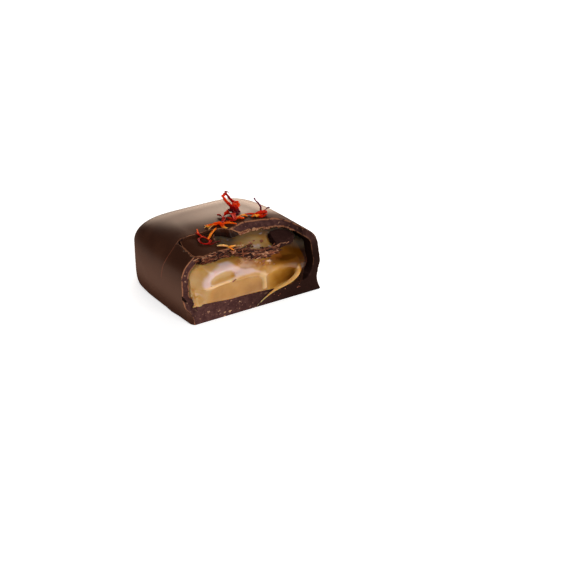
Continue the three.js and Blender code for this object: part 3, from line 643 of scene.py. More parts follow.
def caramel_face(x, z):
    """How far behind the cut the caramel's front stands."""
    bottom = floor_height(x)
    brow = np.interp(x, BROW_PLACES, BROW_HEIGHTS)
    share = np.clip((z - bottom) / (brow - bottom), 0, 1)
    swell = BULGE * np.sin(math.pi * share ** 0.8) ** 0.8 * (1 - 0.5 * ease(2, 9, x))
    end = CARAMEL_END + 0.2 * (z - FLOOR) + 0.4 * ease(4.5, 6.5, z)
    face = 0.25 * share - 0.05 - swell + 4 * ease(end - 0.6, end + 1.6, x)
    face = face + 2.3 * ease(-9.2, -13.6, x) * ease(2.6, 5.2, z)
    above = z - np.interp(x, LIP_PLACES, LIP_HEIGHTS)
    over = np.clip((above + 0.1) / 0.9, 0, 1)
    lip = 0.5 * np.sqrt(1 - (1 - over) ** 2) * ease(-12.2, -10.2, x) * mix(1, 0.5, ease(1.5, 3.5, x))
    tucked = 0.28 * ease(1.5, 4.5, x) * ease(9.6, 7.0, x) * ease(0.4, -1.1, above) * ease(2.8, 3.9, z)
    fold = 0.42 * bump(path_distance(x, z, FOLD), 0.8)
    hollow = 0.24 * np.exp(-((x - HOLLOW[0]) / 2.6) ** 2 - ((z - HOLLOW[1]) / 0.65) ** 2)
    return face + 0.25 * ease(0, 0.3, share) - lip - fold + hollow + tucked + 0.05 * lumps(x, 0, z, 2.6, 23)


def smaller(a, b, soft):
    """The smaller of two, rounded over soft where they change."""
    return -larger(-a, -b, soft)


def caramel_field(x, y, z):
    room = pillow(x, y, z, COAT - CLING, floor_height(x) - CLING, FLOOR_FILLET)
    block = larger(caramel_face(x, z) - y, z - caramel_top(x, y), 1.1)
    block = np.maximum(block, room)
    drip = strand_distance(x, y, z, DRIP, DRIP_RADII, 0.7)
    string = strand_distance(x, y, z, STRING, STRING_RADII, 0.6)
    seep = strand_distance(x, y, z, SEEP, SEEP_RADII, 0.6)
    block = smaller(smaller(block, drip, 0.5), string, 0.45)
    return smaller(block, seep, 0.9)


caramel_points, caramel_faces = sculpt(
    caramel_field,
    spaced((-13.4, 12.6, 0.15)),
    spaced((-1.75, 0.6, 0.08), (0.6, 10.4, 0.17), (10.4, 23.8, 0.6)),
    spaced((0.3, 12.3, 0.12)),
)


def soft_caramel():
    """Soft caramel with a wet gloss. Light goes a few millimetres into it, so it glows from
    cream through tan to amber where it is thin over dark chocolate. A pale, pinkish painted
    highlight lies on the fold's swollen edge."""
    material, tree, output = new_material("soft_caramel")
    place = add(tree, "TexCoord").outputs["Object"]
    amber, stain, pale, peach, film, wet, gloom, glint = (
        add(tree, "Attribute", attribute_name=mark).outputs["Fac"]
        for mark in ("amber", "stain", "pale", "peach", "film", "wet", "gloom", "glint"))
    rgb = {"data_type": "RGBA"}
    mottle = add(tree, "TexNoise", {"Vector": place, "Scale": 1 / (2.4 * MM), "Detail": 3.0})
    shade = add(tree, "Math", {0: mottle.outputs[0], 1: 0.3, 2: amber}, operation="MULTIPLY_ADD")
    ramp = add(tree, "ValToRGB", {"Fac": shade})
    first, last = ramp.color_ramp.elements
    first.color, last.color = linear("#d2ae72"), linear("#472300")
    for position, code in ((0.12, "#bd9a66"), (0.38, "#b07e38"), (0.68, "#805016")):
        ramp.color_ramp.elements.new(position).color = linear(code)
    # The painted highlight's colour: pinkish, and peach along its lower edge.
    painted_highlight_colour = add(
        tree, "Mix", {0: peach, 6: linear("#ceb2ac"), 7: linear("#dcb686")}, **rgb).outputs[2]
    colour = add(tree, "Mix", {0: pale, 6: ramp, 7: painted_highlight_colour}, **rgb).outputs[2]
    # Its own stain, then painted shadow, painted shade under the roof and painted glints.
    for share, code in ((stain, "#8a4a1e"), (film, "#24140e"), (gloom, "#55483a"), (glint, "#aaa3b6")):
        colour = add(tree, "Mix", {0: share, 6: colour, 7: linear(code)}, **rgb).outputs[2]
    ripple = add(tree, "TexNoise", {"Vector": place, "Scale": 1 / (0.9 * MM), "Detail": 2.0})
    raised = add(tree, "Bump", {"Strength": 0.25, "Distance": 0.05 * MM, "Height": ripple.outputs[0]})
    soft = {
        "Base Color": colour, "IOR": 1.47, "Normal": raised,
        "Subsurface Weight": 0.8, "Subsurface Radius": (1.0, 0.5, 0.2), "Subsurface Scale": 1.0 * MM}
    glossy = add(tree, "BsdfPrincipled", {**soft, "Roughness": 0.14})
    filmed = add(tree, "BsdfPrincipled", {**soft, "Roughness": 0.5, "Specular IOR Level": 0.0})
    surface = add(tree, "MixShader", {0: wet, 1: filmed.outputs[0], 2: glossy.outputs[0]})
    tree.links.new(surface.outputs[0], output.inputs[0])
    return material


# How deep its colour is, from 0, cream, to 1, dark amber: palest at the left, deeper at the
# floor, deeper to the right, partly as painted shade, and under the roof as painted shade. In a
# few shaded places it is painted lighter, as painted light.
x, y, z = caramel_points.T
amber = 0.2 - 0.25 * ease(-9.0, -12.5, x) + 0.12 * ease(6.5, 4, z)
# Deeper to the right, partly painted shade.
amber = amber + 0.4 * ease(1.5, 7, x) + 0.2 * ease(6, 9, x)
# Random tone, and deeper under the roof at the back and at the left: painted shade.
amber = amber + 0.12 * lumps(x, y, z, 3.5, 24) + 0.25 * ease(5.5, 8.5, y)
amber = amber + 0.4 * ease(1, -3, x) * ease(2.5, 5, y)
above = z - np.interp(x, LIP_PLACES, LIP_HEIGHTS)
# Paler in the tuck below the lip, painted light, and along a band just above the lip, a painted highlight.
tucked = ease(1.6, 2.8, x) * ease(9.4, 7.5, x) * ease(0.1, -0.5, above) * ease(1, 0.2, y)
amber = amber - 0.02 * tucked - 0.12 * ease(0.9, 0.2, np.abs(above - 0.2)) * ease(1.6, 3, x) * ease(1, 0.2, y)
# Paler in the trench, in the golden hollow and at the fold's top left: painted light against the shade there.
amber = amber - 0.15 * ease(1.0, 2.2, y) * ease(7.0, 4.5, x)
amber = amber - 0.15 * ease(0.2, -0.4, outline_distance(x, z, GOLDEN)) * ease(0.5, 0, y)
amber = amber - 0.3 * ease(-4.5, -6.5, x) * ease(9.0, 9.8, z) * ease(1.2, 0.4, y)
amber = amber + 0.25 * ease(2.0, 3.2, x) * ease(7.0, 7.8, z) * ease(1.2, 0.6, y)
# Deeper at the top of the right end: painted shade.
amber = amber + 0.5 * ease(8.8, 10.2, x) * ease(4.6, 5.8, z)
amber = np.maximum(amber, 0.1)
# The drip and the string are thin and pale.
pulled = np.minimum(
    strand_distance(x, y, z, DRIP, DRIP_RADII), strand_distance(x, y, z, STRING, STRING_RADII))
on_pulled = ease(0.35, 0, pulled) * ease(0.3, -0.1, y) * ease(9.2, 8.4, x)
amber = mix(amber, mix(0.12, -0.02, ease(3, 1, x) * ease(2.5, 3.5, z)), on_pulled)
STREAK = [(-5.4, 7.8), (-3.8, 8.3), (-0.5, 8.2)]  # a deeper streak above the hollow: (X, Z)
amber = amber + 0.25 * bump(path_distance(x, z, STREAK), 0.45) * ease(0.6, 0, y)
# A painted highlight on the fold's swollen edge: pinkish above, peach along its lower edge.
pale = ease(0.2, -0.35, outline_distance(x, z, PAINTED_HIGHLIGHT)) * ease(-0.25, 0.3, outline_distance(x, z, GOLDEN))
# A weaker painted highlight further to the right.
pale = np.maximum(pale, 0.5 * bump(np.hypot(x + 2.4, z - 8.9) + 0.5 * lumps(x, y, z, 0.9, 27), 1.3))
pale = pale * ease(0.9, 0.3, y) * mix(0.9, 0.75, ease(-6, -4, x))
peach = ease(0.5, -0.3, z - np.interp(x, (-11, -10, -6, -4, 0), (6.4, 6.9, 7.1, 7.2, 7.0)))
# Painted shadow at the right, and where the surface isn't wet.
past = np.interp(x, MASS_PLACES, MASS_HEIGHTS) - z
film = ease(-0.1, 0.5, past) * ease(4.2, 5.0, x) * ease(1.5, 0.5, y - ease(9, 10, x) * 3)
film = mix(0.55, 1, ease(0.4, 1.4, past)) * film
recess = ease(1.5, 2.6, x) * ease(0.3, -0.3, above) * ease(1, 0.2, y)
wet = 1 - np.maximum.reduce([
    recess, film, 0.75 * ease(1.5, 2.5, y), 0.85 * ease(2.5, 4.5, x) * ease(6.2, 7.2, z)])
# Crumbs have stained it along the foot of the rubble: (X, Z).
STAINED = [
    (-10, 10.3), (-2.8, 9.9), (-1.2, 9.2), (0.1, 8.5), (1.5, 8.0), (3.6, 8.4), (5.5, 8.6)]
stain = 0.65 * bump(path_distance(x, z, STAINED), 0.65) * ease(2.2, 1.0, y)
stain = stain * ease(-0.5, 0.4, lumps(x, y, z, 0.7, 25)) * ease(-5.5, -3.5, x)
# Painted shade: greyer and darker under the roof, and towards the right of the trench.
gloom = 0.75 * ease(3.0, 7.5, y) + 0.6 * ease(4.5, 8.0, x) * ease(1.8, 3.2, y)
gloom = gloom + 0.6 * ease(0.5, -3, x) * ease(2.5, 5, y)
gloom = np.clip(gloom, 0.3 * ease(1.2, 2.2, y) * ease(6, 4, x), 0.9)
# Painted glints: pale lilac highlights painted on the caramel beside the rubble: (X, Y, radius).
PAINTED_GLINTS = [
    (-1.4, 2.7, 0.5), (1.7, 2.85, 0.5), (4.4, 2.2, 0.35), (-1.8, 6.6, 0.2), (4.6, 6.2, 0.3),
    (-0.7, 2.3, 0.35),
]
glint = 0 * x
for spot_x, spot_y, radius in PAINTED_GLINTS:
    away = np.hypot(x - spot_x, 1.6 * (y - spot_y)) + 0.35 * lumps(x, y, z, 0.5, 26)
    glint = np.maximum(glint, bump(away, radius))
glint = 0.55 * glint * ease(8, 9, z) * ease(1.4, 2.0, y)
caramel_marks = {
    "amber": amber, "stain": stain, "pale": pale, "peach": peach,
    "gloom": gloom, "film": film, "wet": wet, "glint": glint,
}
caramel = make_piece("caramel_filling", caramel_points, caramel_faces, caramel_marks, soft_caramel())
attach(caramel, "root")
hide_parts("caramel")


# ---------- fallen pieces of the roof ----------
# Two pieces of the dark chocolate roof that broke off and came to lie on the caramel: a
# large plate at the left and a small flap at the right. They lie where they fell.

def fallen_pose(piece):
    """Takes a place in the roof to where it is on the fallen piece."""
    hinge = Vector((*piece["hinge"], HEIGHT))
    turn = Matrix.Rotation(piece["forward"], 4, "X") @ Matrix.Rotation(piece["sideways"], 4, "Y")
    down = Vector((0, 0, -piece["sink"]))
    return Matrix.Translation(hinge + down) @ turn @ Matrix.Translation(-hinge)


def fallen_surfaces(piece, x, y, z):
    """Distances outside its skin, its lining and its broken, layered side."""
    back = np.array(fallen_pose(piece).inverted())
    x, y, z = (back[k, 0] * x + back[k, 1] * y + back[k, 2] * z + back[k, 3] for k in range(3))
    skin = pillow(x, y, z, 0, 0, 0.35) + 0.04 * lumps(x, y, z, 5, 31)
    lining = -pillow(x, y, z, COAT, FLOOR, FLOOR_FILLET)
    layers = crests(x * 0.45, y * 0.45, z * 1.3, 0.7, 32) - 0.4
    crag = 0.3 * layers + 0.16 * lumps(x, y, z, CHIP, 33)
    side = outline_distance(x, y, piece["outline"]) + 0.12 * lumps(x, y, 0, 1.0, 34)
    return skin, lining, side - crag * ease(-0.05, -0.3, skin)


def fallen_piece(name, node, piece, reach, dusk, bloom, dull):
    """One piece within reach. It is darkened with the painted shade given and its skin made
    paler with the painted light given; dull makes its skin look broken too.
    """
    def field(x, y, z):
        skin, lining, side = fallen_surfaces(piece, x, y, z)
        return larger(np.maximum(skin, lining), side, EDGE_ROUNDING)

    points, faces = sculpt(field, *(spaced((start, end, 0.1)) for start, end in reach))
    skin, lining, side = fallen_surfaces(piece, *points.T)
    marks = {
        "depth": np.maximum(-skin, dull), "lining": np.maximum(-lining, dull),
        "edge": np.abs(side), "crack": NO_CRACK, "bloom": bloom, "sheen": 0.04, "dusk": dusk,
    }
    made = make_piece(name, points, faces, marks, CHOCOLATE)
    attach(made, "root")
    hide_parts(node)


# Painted shade: a little on the plate, and much on the flap, all of whose surface counts as broken.
fallen_piece(
    "plate_of_roof", "roof_plate", PLATE, ((-11.6, -2.8), (0.9, 10.4), (9.0, 13.2)),
    dusk=0.15, bloom=0.0, dull=0.0)
fallen_piece(
    "flap_of_roof", "roof_flap", FLAP, ((4.3, 10.4), (0.6, 5.8), (8.0, 12.6)),
    dusk=0.75, bloom=0.3, dull=0.3)


# ---------- rubble and crumbs ----------
# What the roof shed when it was broken: a heap of slivers and crumbs of dark chocolate
# along the front of the gap and of the fallen plate, crumbs along the roof's broken edge,
# and single crumbs that stuck to the caramel.

RUBBLE_PATH = [
    (-3.9, 1.7, 11.0), (-1.9, 1.05, 10.35), (-0.5, 0.9, 9.85), (0.7, 0.95, 9.45), (2.1, 1.1, 9.3),
    (3.7, 1.4, 9.3), (5.2, 1.9, 9.3),
]
RUBBLE_RADII = (0.5, 0.7, 0.75, 0.75, 0.7, 0.6, 0.4)
# Single crumbs, each with its length: on top of the caramel (X, Y), on the bottom's cut
# (X, Z) and stuck to the caramel's front (X, Z).
STRAY = [
    (0.27, 3.04, 0.9), (3.1, 3.2, 0.7), (1.9, 3.9, 0.5), (-1.6, 3.2, 0.5), (5.4, 4.6, 0.5),
    (-0.6, 4.3, 0.35), (2.4, 2.3, 0.8), (0.9, 2.2, 0.6), (-2.3, 2.6, 0.6), (-0.5, 2.6, 1.0),
    (-0.3, 2.2, 0.9), (0.1, 1.9, 0.8), (-0.6, 2.1, 0.8), (0.0, 2.5, 0.7), (3.2, 3.5, 0.7),
    (3.0, 3.3, 0.5),
]
CUT_CRUMBS = [
    (8.5, 1.55, 0.3), (8.75, 1.7, 0.3), (9.0, 1.6, 0.25), (8.9, 2.2, 0.25), (5.8, 2.0, 0.3),
    (4.4, 1.0, 0.3), (4.7, 1.25, 0.25), (3.5, 1.5, 0.3),
]
FLECKS = [
    (-4.72, 8.03, 0.3), (-3.43, 7.22, 0.32), (-10.0, 7.0, 0.35), (-5.4, 6.9, 0.95),
    (-2.1, 9.0, 0.35), (-1.57, 9.5, 0.8), (-0.33, 8.85, 0.5), (0.99, 8.1, 0.6), (3.4, 7.5, 0.35),
    (-2.5, 9.6, 0.45), (1.1, 8.7, 0.7), (-0.7, 9.1, 0.35), (-3.6, 9.7, 0.35), (2.4, 7.9, 0.3),
    (-4.2, 9.6, 0.3), (0.3, 8.6, 0.35),
]


def rubble_field(x, y, z):
    core = strand_distance(x, y, z, RUBBLE_PATH, RUBBLE_RADII, 1.1)
    crag = 0.45 * (crests(x * 0.5, y, z, 0.8, 41) - 0.45) + 0.22 * lumps(x, y, z, 0.4, 42)
    return core - crag


def broken_chocolate():
    """Freshly broken dark chocolate. It is matte and rough, purple-brown in its hollows and
    lighter, redder brown along its crests, where it is thin and crumbly."""
    material, tree, output = new_material("broken_dark_chocolate")
    place = add(tree, "TexCoord").outputs["Object"]
    crest = add(tree, "Attribute", attribute_name="crest").outputs["Fac"]
    grain = add(tree, "TexNoise", {"Vector": place, "Scale": 1 / (0.35 * MM), "Detail": 4.0}).outputs[0]
    high = add(tree, "Math", {0: grain, 1: 0.6, 2: crest}, operation="MULTIPLY_ADD")
    colour = linear("#2b120c")
    for start, end, code in ((0.4, 0.8, "#7d432c"), (0.85, 1.2, "#bd8866")):
        share = add(tree, "MapRange", {0: high, 1: start, 2: end}, interpolation_type="SMOOTHSTEP")
        colour = add(
            tree, "Mix", {0: share, 6: colour, 7: linear(code)}, data_type="RGBA").outputs[2]
    raised = add(tree, "Bump", {"Strength": 0.8, "Distance": 0.1 * MM, "Height": grain})
    surface = add(tree, "BsdfPrincipled", {
        "Base Color": colour, "Roughness": 0.6, "IOR": COCOA_BUTTER_IOR, "Specular IOR Level": 0.15,
        "Normal": raised})
    tree.links.new(surface.outputs[0], output.inputs[0])
    return material


BROKEN = broken_chocolate()
points, faces = sculpt(
    rubble_field, *(spaced((start, end, 0.09)) for start, end in ((-4.8, 6.2), (-0.6, 3.2), (7.8, 12.2))))
x, y, z = points.T
rubble = make_piece("rubble", points, faces, {"crest": 0.8 * crests(x * 0.5, y, z, 0.8, 41)}, BROKEN)
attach(rubble, "root")
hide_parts("roof_rubble")


def splinter(dice, length, thickness):
    """Corners and faces of a sharp-edged sliver, its long side along X."""
    count = 14
    ends = dice.uniform(0.5, 1.0, count) * np.where(np.arange(count) % 2, 1, -1)
    turns = np.arange(count) * 2.4 + dice.uniform(-0.5, 0.5, count)
    girth = np.sqrt(1 - (np.abs(ends) * 0.97) ** 2) * dice.uniform(0.7, 1.2, count)
    wide, thick = thickness * dice.uniform(1.1, 2.0), thickness * dice.uniform(0.5, 0.9)
    corners = np.stack([ends * length, np.cos(turns) * girth * wide, np.sin(turns) * girth * thick], 1) / 2
    shape = bmesh.new()
    for corner in corners:
        shape.verts.new(corner)
    bmesh.ops.convex_hull(shape, input=shape.verts)
    loose = [corner for corner in shape.verts if not corner.link_faces]
    bmesh.ops.delete(shape, geom=loose, context="VERTS")
    shape.verts.index_update()
    found = np.array([corner.co for corner in shape.verts])
    faces = [[corner.index for corner in face.verts] for face in shape.faces]
    shape.free()
    return found, faces


FINE = 0.19  # slivers thicker than this are darker


def scatter(name, spots, seed):
    """One piece made of slivers. A spot is its place, length, thickness and paleness."""
    dice = np.random.default_rng(seed)
    points, faces, pale = [], [], []
    for place, length, thickness, crest in spots:
        corners, sides = splinter(dice, length, thickness)
        turn = Matrix.Rotation(dice.normal(0, 0.3), 3, "Z")
        turn = turn @ Matrix.Rotation(dice.normal(0.03, 0.2), 3, "Y")
        turn = np.array(turn @ Matrix.Rotation(dice.uniform(-2, 2), 3, "X"))
        start = sum(len(block) for block in points)
        points.append(corners @ turn.T + place)
        faces += [[start + k for k in side] for side in sides]
        pale.append(crest * min(1, FINE / thickness) + 0.5 * corners[:, 2] / thickness)
    made = make_piece(name, np.concatenate(points), faces, {"crest": np.concatenate(pale)}, BROKEN)
    made.data.polygons.foreach_set("use_smooth", [False] * len(made.data.polygons))
    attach(made, "root")


def along(points, share):
    """The place a share of the way along a line of points."""
    steps = np.linspace(0, 1, len(points))
    return np.array([np.interp(share, steps, places) for places in zip(*points)])


# Slivers down the plate's broken front: (X, Y).
PLATE_FRONT = [(-10.9, 2.5), (-9.8, 1.55), (-8.9, 1.65), (-7.5, 1.9), (-6.3, 2.0), (-4.4, 1.9)]
dice = np.random.default_rng(5)
spots = []
for _ in range(170):
    x, y = along(PLATE_FRONT, dice.uniform(0, 1))
    y -= dice.uniform(-0.1, 0.25)
    z = roof_height(x, y) - drop(PLATE, x, y) - dice.uniform(0.1, 1.5)
    spots.append(((x, y, z), dice.uniform(0.6, 2.4), dice.uniform(0.1, 0.26), dice.uniform(-0.2, 0.9)))
# Slivers all over the rubble.
for _ in range(260):
    share = dice.uniform(0, 1)
    middle = along(RUBBLE_PATH, share)
    radius = np.interp(share, np.linspace(0, 1, len(RUBBLE_RADII)), RUBBLE_RADII)
    radius = radius + dice.uniform(-0.1, 0.12)
    turn = dice.uniform(-1.0, 2.6)
    place = middle + np.array([0, -math.cos(turn), math.sin(turn)]) * radius
    spots.append((place, dice.uniform(0.6, 2.8), dice.uniform(0.1, 0.28), dice.uniform(-0.2, 0.9)))
# Thin pale slivers in a row along the flap's front.
for share in np.linspace(0, 1, 5):
    place = (mix(4.8, 7.1, share), 1.15, 10.1 + 0.25 * math.sin(3 * share))
    spots.append((place, 0.9, 0.13, 0.8))
# A small heap of crumbs on the caramel behind the rubble.
HEAP = (0.1, 2.4)
for _ in range(22):
    x, y = dice.normal(HEAP[0], 0.35), dice.normal(HEAP[1], 0.3)
    rise = dice.uniform(0, 1.4) * bump(math.hypot(x - HEAP[0], y - HEAP[1]), 0.6)
    z = TRENCH_HEIGHT - 0.3 + rise
    spots.append(((x, y, z), dice.uniform(0.4, 0.8), dice.uniform(0.15, 0.3), dice.uniform(0.3, 0.8)))
for x, y, length in STRAY:
    z = float(caramel_top(np.float64(x), np.float64(y))) + 0.12
    spots.append(((x, y, z), length, 0.4 * length, 0.5))
for x, z, length in FLECKS:
    place = (x, float(caramel_face(np.float64(x), np.float64(z))) - 0.08 - 0.15 * length, z)
    spots.append((place, length, 0.42 * length, 1.05))
for x, z, length in CUT_CRUMBS:
    spots.append(((x, -0.02, z), length, 0.5 * length, 0.5))
scatter("slivers", spots, 6)

# Crumbs along the lower edge of the roof's break: (X, Y).
RIM = [(0.5, 7.6), (1.3, 7.9), (3.2, 8.4), (6.0, 8.5), (8.3, 7.9), (9.8, 6.4), (10.7, 4.4)]
spots = []
for _ in range(120):
    x, y = along(RIM, dice.uniform(0, 1))
    z = roof_height(x, y) - COAT + dice.uniform(-0.1, 0.12)
    y += ROOF_LEAN * ease(10, 8, x) * ease(3, 6, y) * (z - HEIGHT) - 0.05
    spots.append(((x, y, z), dice.uniform(0.2, 0.7), dice.uniform(0.1, 0.22), dice.uniform(0.4, 1.0)))
scatter("rim_crumbs", spots, 7)


# ---------- saffron threads ----------
# Dried saffron threads, thin curled strips that were strewn on the sweet while its coat was
# wet. They dry purple-red to orange, and pale yellow at their roots. Each is given by its
# places (X, Y, height above the chocolate), widths, and tints from 0, purple, to 1, yellow.

ON_ROOF = [
    # The tall loop: its hooked tip, its two sides, the petals between them and its base.
    ([(2.51, 12.9, 4.21), (2.25, 13.0, 4.31), (2.0, 13.2, 4.37), (1.99, 13.2, 4.0)],
     (0.1, 0.22, 0.3), (0, 0.2, 0.3)),
    ([(1.99, 13.2, 4.1), (1.77, 13.2, 3.71), (1.5, 13.2, 3.44), (1.67, 13.2, 2.9), (1.95, 13.2, 2.45),
      (2.3, 13.2, 1.98), (2.8, 13.2, 1.37), (3.35, 13.2, 0.81), (3.6, 13.2, 0.1)],
     (0.3, 0.55, 0.5, 0.8, 1.0, 0.8), (0.3, 0.5, 0.5, 0.4, 0.3, 0.15)),
    ([(2.05, 13.2, 4.0), (2.48, 13.3, 3.37), (3.01, 13.4, 2.64), (3.66, 13.5, 1.97), (4.31, 13.6, 1.5),
      (4.76, 13.8, 0.95), (4.75, 13.8, 0.47), (4.4, 13.5, 0.0)],
     (0.2, 0.3, 0.35, 0.7, 0.8, 0.5), (0.3, 0.2, 0.3, 0.5, 0.6, 0.3)),
    ([(3.4, 13.2, 0.1), (3.42, 13.0, 0.97), (3.62, 13.0, 1.42), (3.4, 13.1, 2.0)],
     (0.7, 1.0, 0.8, 0.2), (0.1, 0.3, 0.45, 0.5)),
    ([(3.9, 13.3, 0.0), (4.1, 13.2, 0.8), (3.8, 13.3, 1.7)], (0.5, 0.6, 0.15), (0.1, 0.35, 0.5)),
    ([(2.2, 13.3, 0.55), (2.95, 13.2, 0.4), (3.47, 13.0, 0.25), (4.0, 12.8, 0.12), (4.7, 12.6, 0.1)],
     (0.2, 1.0, 1.4, 1.0, 0.15), (0.12, 0.14, 0.08, 0.08, 0.1)),
    ([(2.63, 13.2, 0.6), (3.13, 12.8, 0.3), (3.3, 12.2, 0.1), (3.4, 11.5, 0.06)],
     (0.6, 1.3, 1.0, 0.15), (0.16, 0.1, 0.08, 0.08)),
    # Red curls in front of it.
    ([(0.1, 13.1, 0.3), (0.38, 12.3, 0.3), (0.25, 11.3, 0.22), (-0.3, 10.4, 0.15), (-1.1, 9.7, 0.12),
      (-1.6, 9.4, 0.1)],
     (0.25, 0.6, 0.45, 0.35, 0.35, 0.15), (0.28, 0.35, 0.38, 0.35, 0.35, 0.35)),
    ([(0.75, 12.1, 0.1), (1.3, 12.0, 0.5), (1.7, 11.4, 0.7), (1.6, 10.4, 0.6), (1.4, 9.7, 0.2)],
     (0.2, 0.9, 1.2, 1.0, 0.3), (0.3, 0.42, 0.4, 0.38, 0.35)),
    ([(0.7, 10.9, 0.25), (0.95, 10.3, 0.12), (1.4, 9.7, 0.15), (0.9, 9.3, 0.12), (0.29, 9.35, 0.14),
      (-0.6, 9.5, 0.12), (-1.5, 9.6, 0.1)],
     (0.5, 0.7, 0.4, 0.35, 0.4, 0.35, 0.12), (0.35, 0.4, 0.35, 0.3, 0.3, 0.25, 0.2)),
    ([(1.3, 9.1, 0.1), (1.9, 9.5, 0.2), (2.47, 9.91, 0.25), (3.27, 10.31, 0.3), (3.87, 10.2, 0.26),
      (4.4, 9.8, 0.12)],
     (0.25, 0.6, 0.6, 0.5, 0.5, 0.12), (0.35, 0.5, 0.65, 0.85, 0.85, 0.7)),
    ([(2.1, 9.7, 0.1), (2.5, 9.35, 0.2), (2.95, 9.1, 0.15), (3.3, 9.3, 0.08)],
     (0.3, 0.6, 0.4, 0.1), (0.4, 0.55, 0.6, 0.6)),
    # The forked orange strip at the roof's broken edge, with its yellow ends.
    ([(-4.1, 9.5, 0.1), (-3.41, 9.8, 0.2), (-2.5, 9.6, 0.2), (-1.8, 9.1, 0.2), (-1.45, 8.65, 0.12)],
     (0.2, 0.5, 0.9, 0.9, 0.2), (0.85, 0.65, 0.6, 0.6, 0.55)),
    ([(-1.7, 8.9, 0.12), (-0.97, 8.7, 0.2), (-0.16, 8.3, 0.2), (0.7, 7.55, 0.1)],
     (0.3, 0.6, 0.6, 0.12), (0.5, 0.65, 0.68, 0.6)),
    ([(-4.3, 8.85, 0.08), (-3.6, 9.2, 0.15), (-2.98, 9.4, 0.2), (-2.4, 9.3, 0.15)],
     (0.12, 0.3, 0.4, 0.2), (0.95, 0.9, 0.65, 0.6)),
    ([(-4.6, 9.85, 0.06), (-3.92, 9.91, 0.15), (-3.3, 9.9, 0.15)], (0.12, 0.35, 0.3), (0.9, 0.8, 0.65)),
    ([(-1.6, 9.2, 0.15), (-1.9, 8.2, 0.18), (-2.0, 7.4, 0.1), (-1.6, 7.0, 0.06)],
     (0.3, 0.4, 0.3, 0.1), (0.5, 0.62, 0.8, 0.9)),
    ([(-4.1, 10.6, 0.12), (-3.75, 10.1, 0.2), (-3.13, 9.82, 0.2), (-2.6, 9.7, 0.15)],
     (0.1, 0.25, 0.3, 0.2), (0.8, 0.7, 0.6, 0.6)),
    # Red and yellow at the right, with a thin purple hair that stands up and forks.
    ([(6.31, 10.6, 3.14), (6.45, 10.4, 2.75), (6.81, 10.2, 2.25), (7.16, 10.0, 1.7), (7.24, 9.8, 1.27),
      (7.23, 9.7, 0.71), (7.49, 9.6, 0.4), (7.6, 9.3, 0.1)],
     (0.3, 0.17, 0.2, 0.24, 0.27, 0.27, 0.32, 0.36), (0.0, 0.04, 0.04, 0.05, 0.08, 0.1, 0.2, 0.3)),
    ([(7.49, 9.6, 0.4), (8.04, 9.6, 0.72), (8.59, 9.6, 1.08), (9.03, 9.6, 1.19)],
     (0.4, 0.38, 0.34, 0.3), (0.25, 0.14, 0.06, 0.04)),
    ([(4.4, 11.0, 0.12), (5.2, 10.4, 0.2), (5.8, 9.8, 0.22), (6.4, 9.3, 0.3), (7.2, 9.2, 0.35),
      (8.2, 9.4, 0.3)],
     (0.2, 0.45, 0.5, 0.9, 1.1, 0.5), (0.35, 0.4, 0.38, 0.4, 0.38, 0.35)),
    ([(4.9, 9.4, 0.1), (5.4, 9.3, 0.18), (5.7, 8.8, 0.22), (6.3, 8.6, 0.2), (7.0, 8.6, 0.2)],
     (0.15, 0.5, 0.6, 0.6, 0.3), (0.6, 0.85, 0.85, 0.55, 0.4)),
    ([(6.3, 9.0, 0.2), (6.2, 8.3, 0.12), (6.9, 8.4, 0.25), (7.5, 8.7, 0.3), (7.97, 8.84, 0.3)],
     (0.4, 0.6, 0.8, 0.6, 0.2), (0.4, 0.35, 0.4, 0.38, 0.35)),
]
ON_PLATE = [
    ([(-3.4, 8.1, 0.75), (-4.21, 7.65, 0.6), (-5.25, 6.84, 0.35), (-6.1, 6.25, 0.12)],
     (0.6, 0.8, 0.75, 0.4), (0.68, 0.74, 0.74, 0.68)),
    ([(-6.0, 10.1, 0.7), (-6.36, 9.2, 0.5), (-6.57, 8.3, 0.35), (-6.3, 7.75, 0.25), (-6.2, 7.0, 0.3)],
     (0.1, 0.2, 0.24, 0.3, 0.25), (0.66, 0.62, 0.55, 0.48, 0.4)),
    ([(-6.9, 9.3, 0.5), (-6.7, 8.7, 0.45), (-6.5, 8.0, 0.35)], (0.12, 0.3, 0.3), (0.15, 0.3, 0.4)),
    ([(-6.3, 7.6, 0.3), (-6.17, 6.4, 0.3), (-6.14, 5.49, 0.22), (-6.82, 4.95, 0.16), (-7.57, 5.2, 0.14),
      (-7.88, 5.95, 0.2),
      (-7.5, 7.0, 0.25), (-6.9, 7.4, 0.3), (-6.2, 7.2, 0.35)],
     (0.25, 0.36, 0.4, 0.34, 0.27, 0.27, 0.3, 0.3, 0.18),
     (0.42, 0.4, 0.38, 0.3, 0.26, 0.26, 0.28, 0.3, 0.2)),
    ([(-6.8, 4.8, 0.1), (-6.2, 4.55, 0.2), (-5.7, 4.66, 0.28), (-5.31, 4.65, 0.33), (-4.7, 4.4, 0.4)],
     (0.1, 0.2, 0.28, 0.2, 0.1), (0.3, 0.2, 0.12, 0.12, 0.1)),
    ([(-5.93, 3.6, 0.1), (-5.3, 3.2, 0.14), (-4.83, 2.7, 0.16), (-4.6, 2.35, 0.16), (-4.5, 2.0, 0.12)],
     (0.38, 0.42, 0.45, 0.42, 0.3), (0.96, 0.95, 0.92, 0.88, 0.86)),
    ([(-4.62, 2.1, 0.12), (-4.3, 1.75, 0.3), (-4.0, 1.5, 0.42), (-3.5, 1.4, 0.5)],
     (0.2, 0.28, 0.24, 0.1), (0.86, 0.84, 0.86, 0.9)),
    ([(-4.55, 2.3, 0.15), (-4.5, 1.8, 0.16), (-4.4, 1.3, 0.1), (-4.2, 0.9, 0.0)],
     (0.3, 0.3, 0.2, 0.08), (0.86, 0.8, 0.78, 0.8)),
]


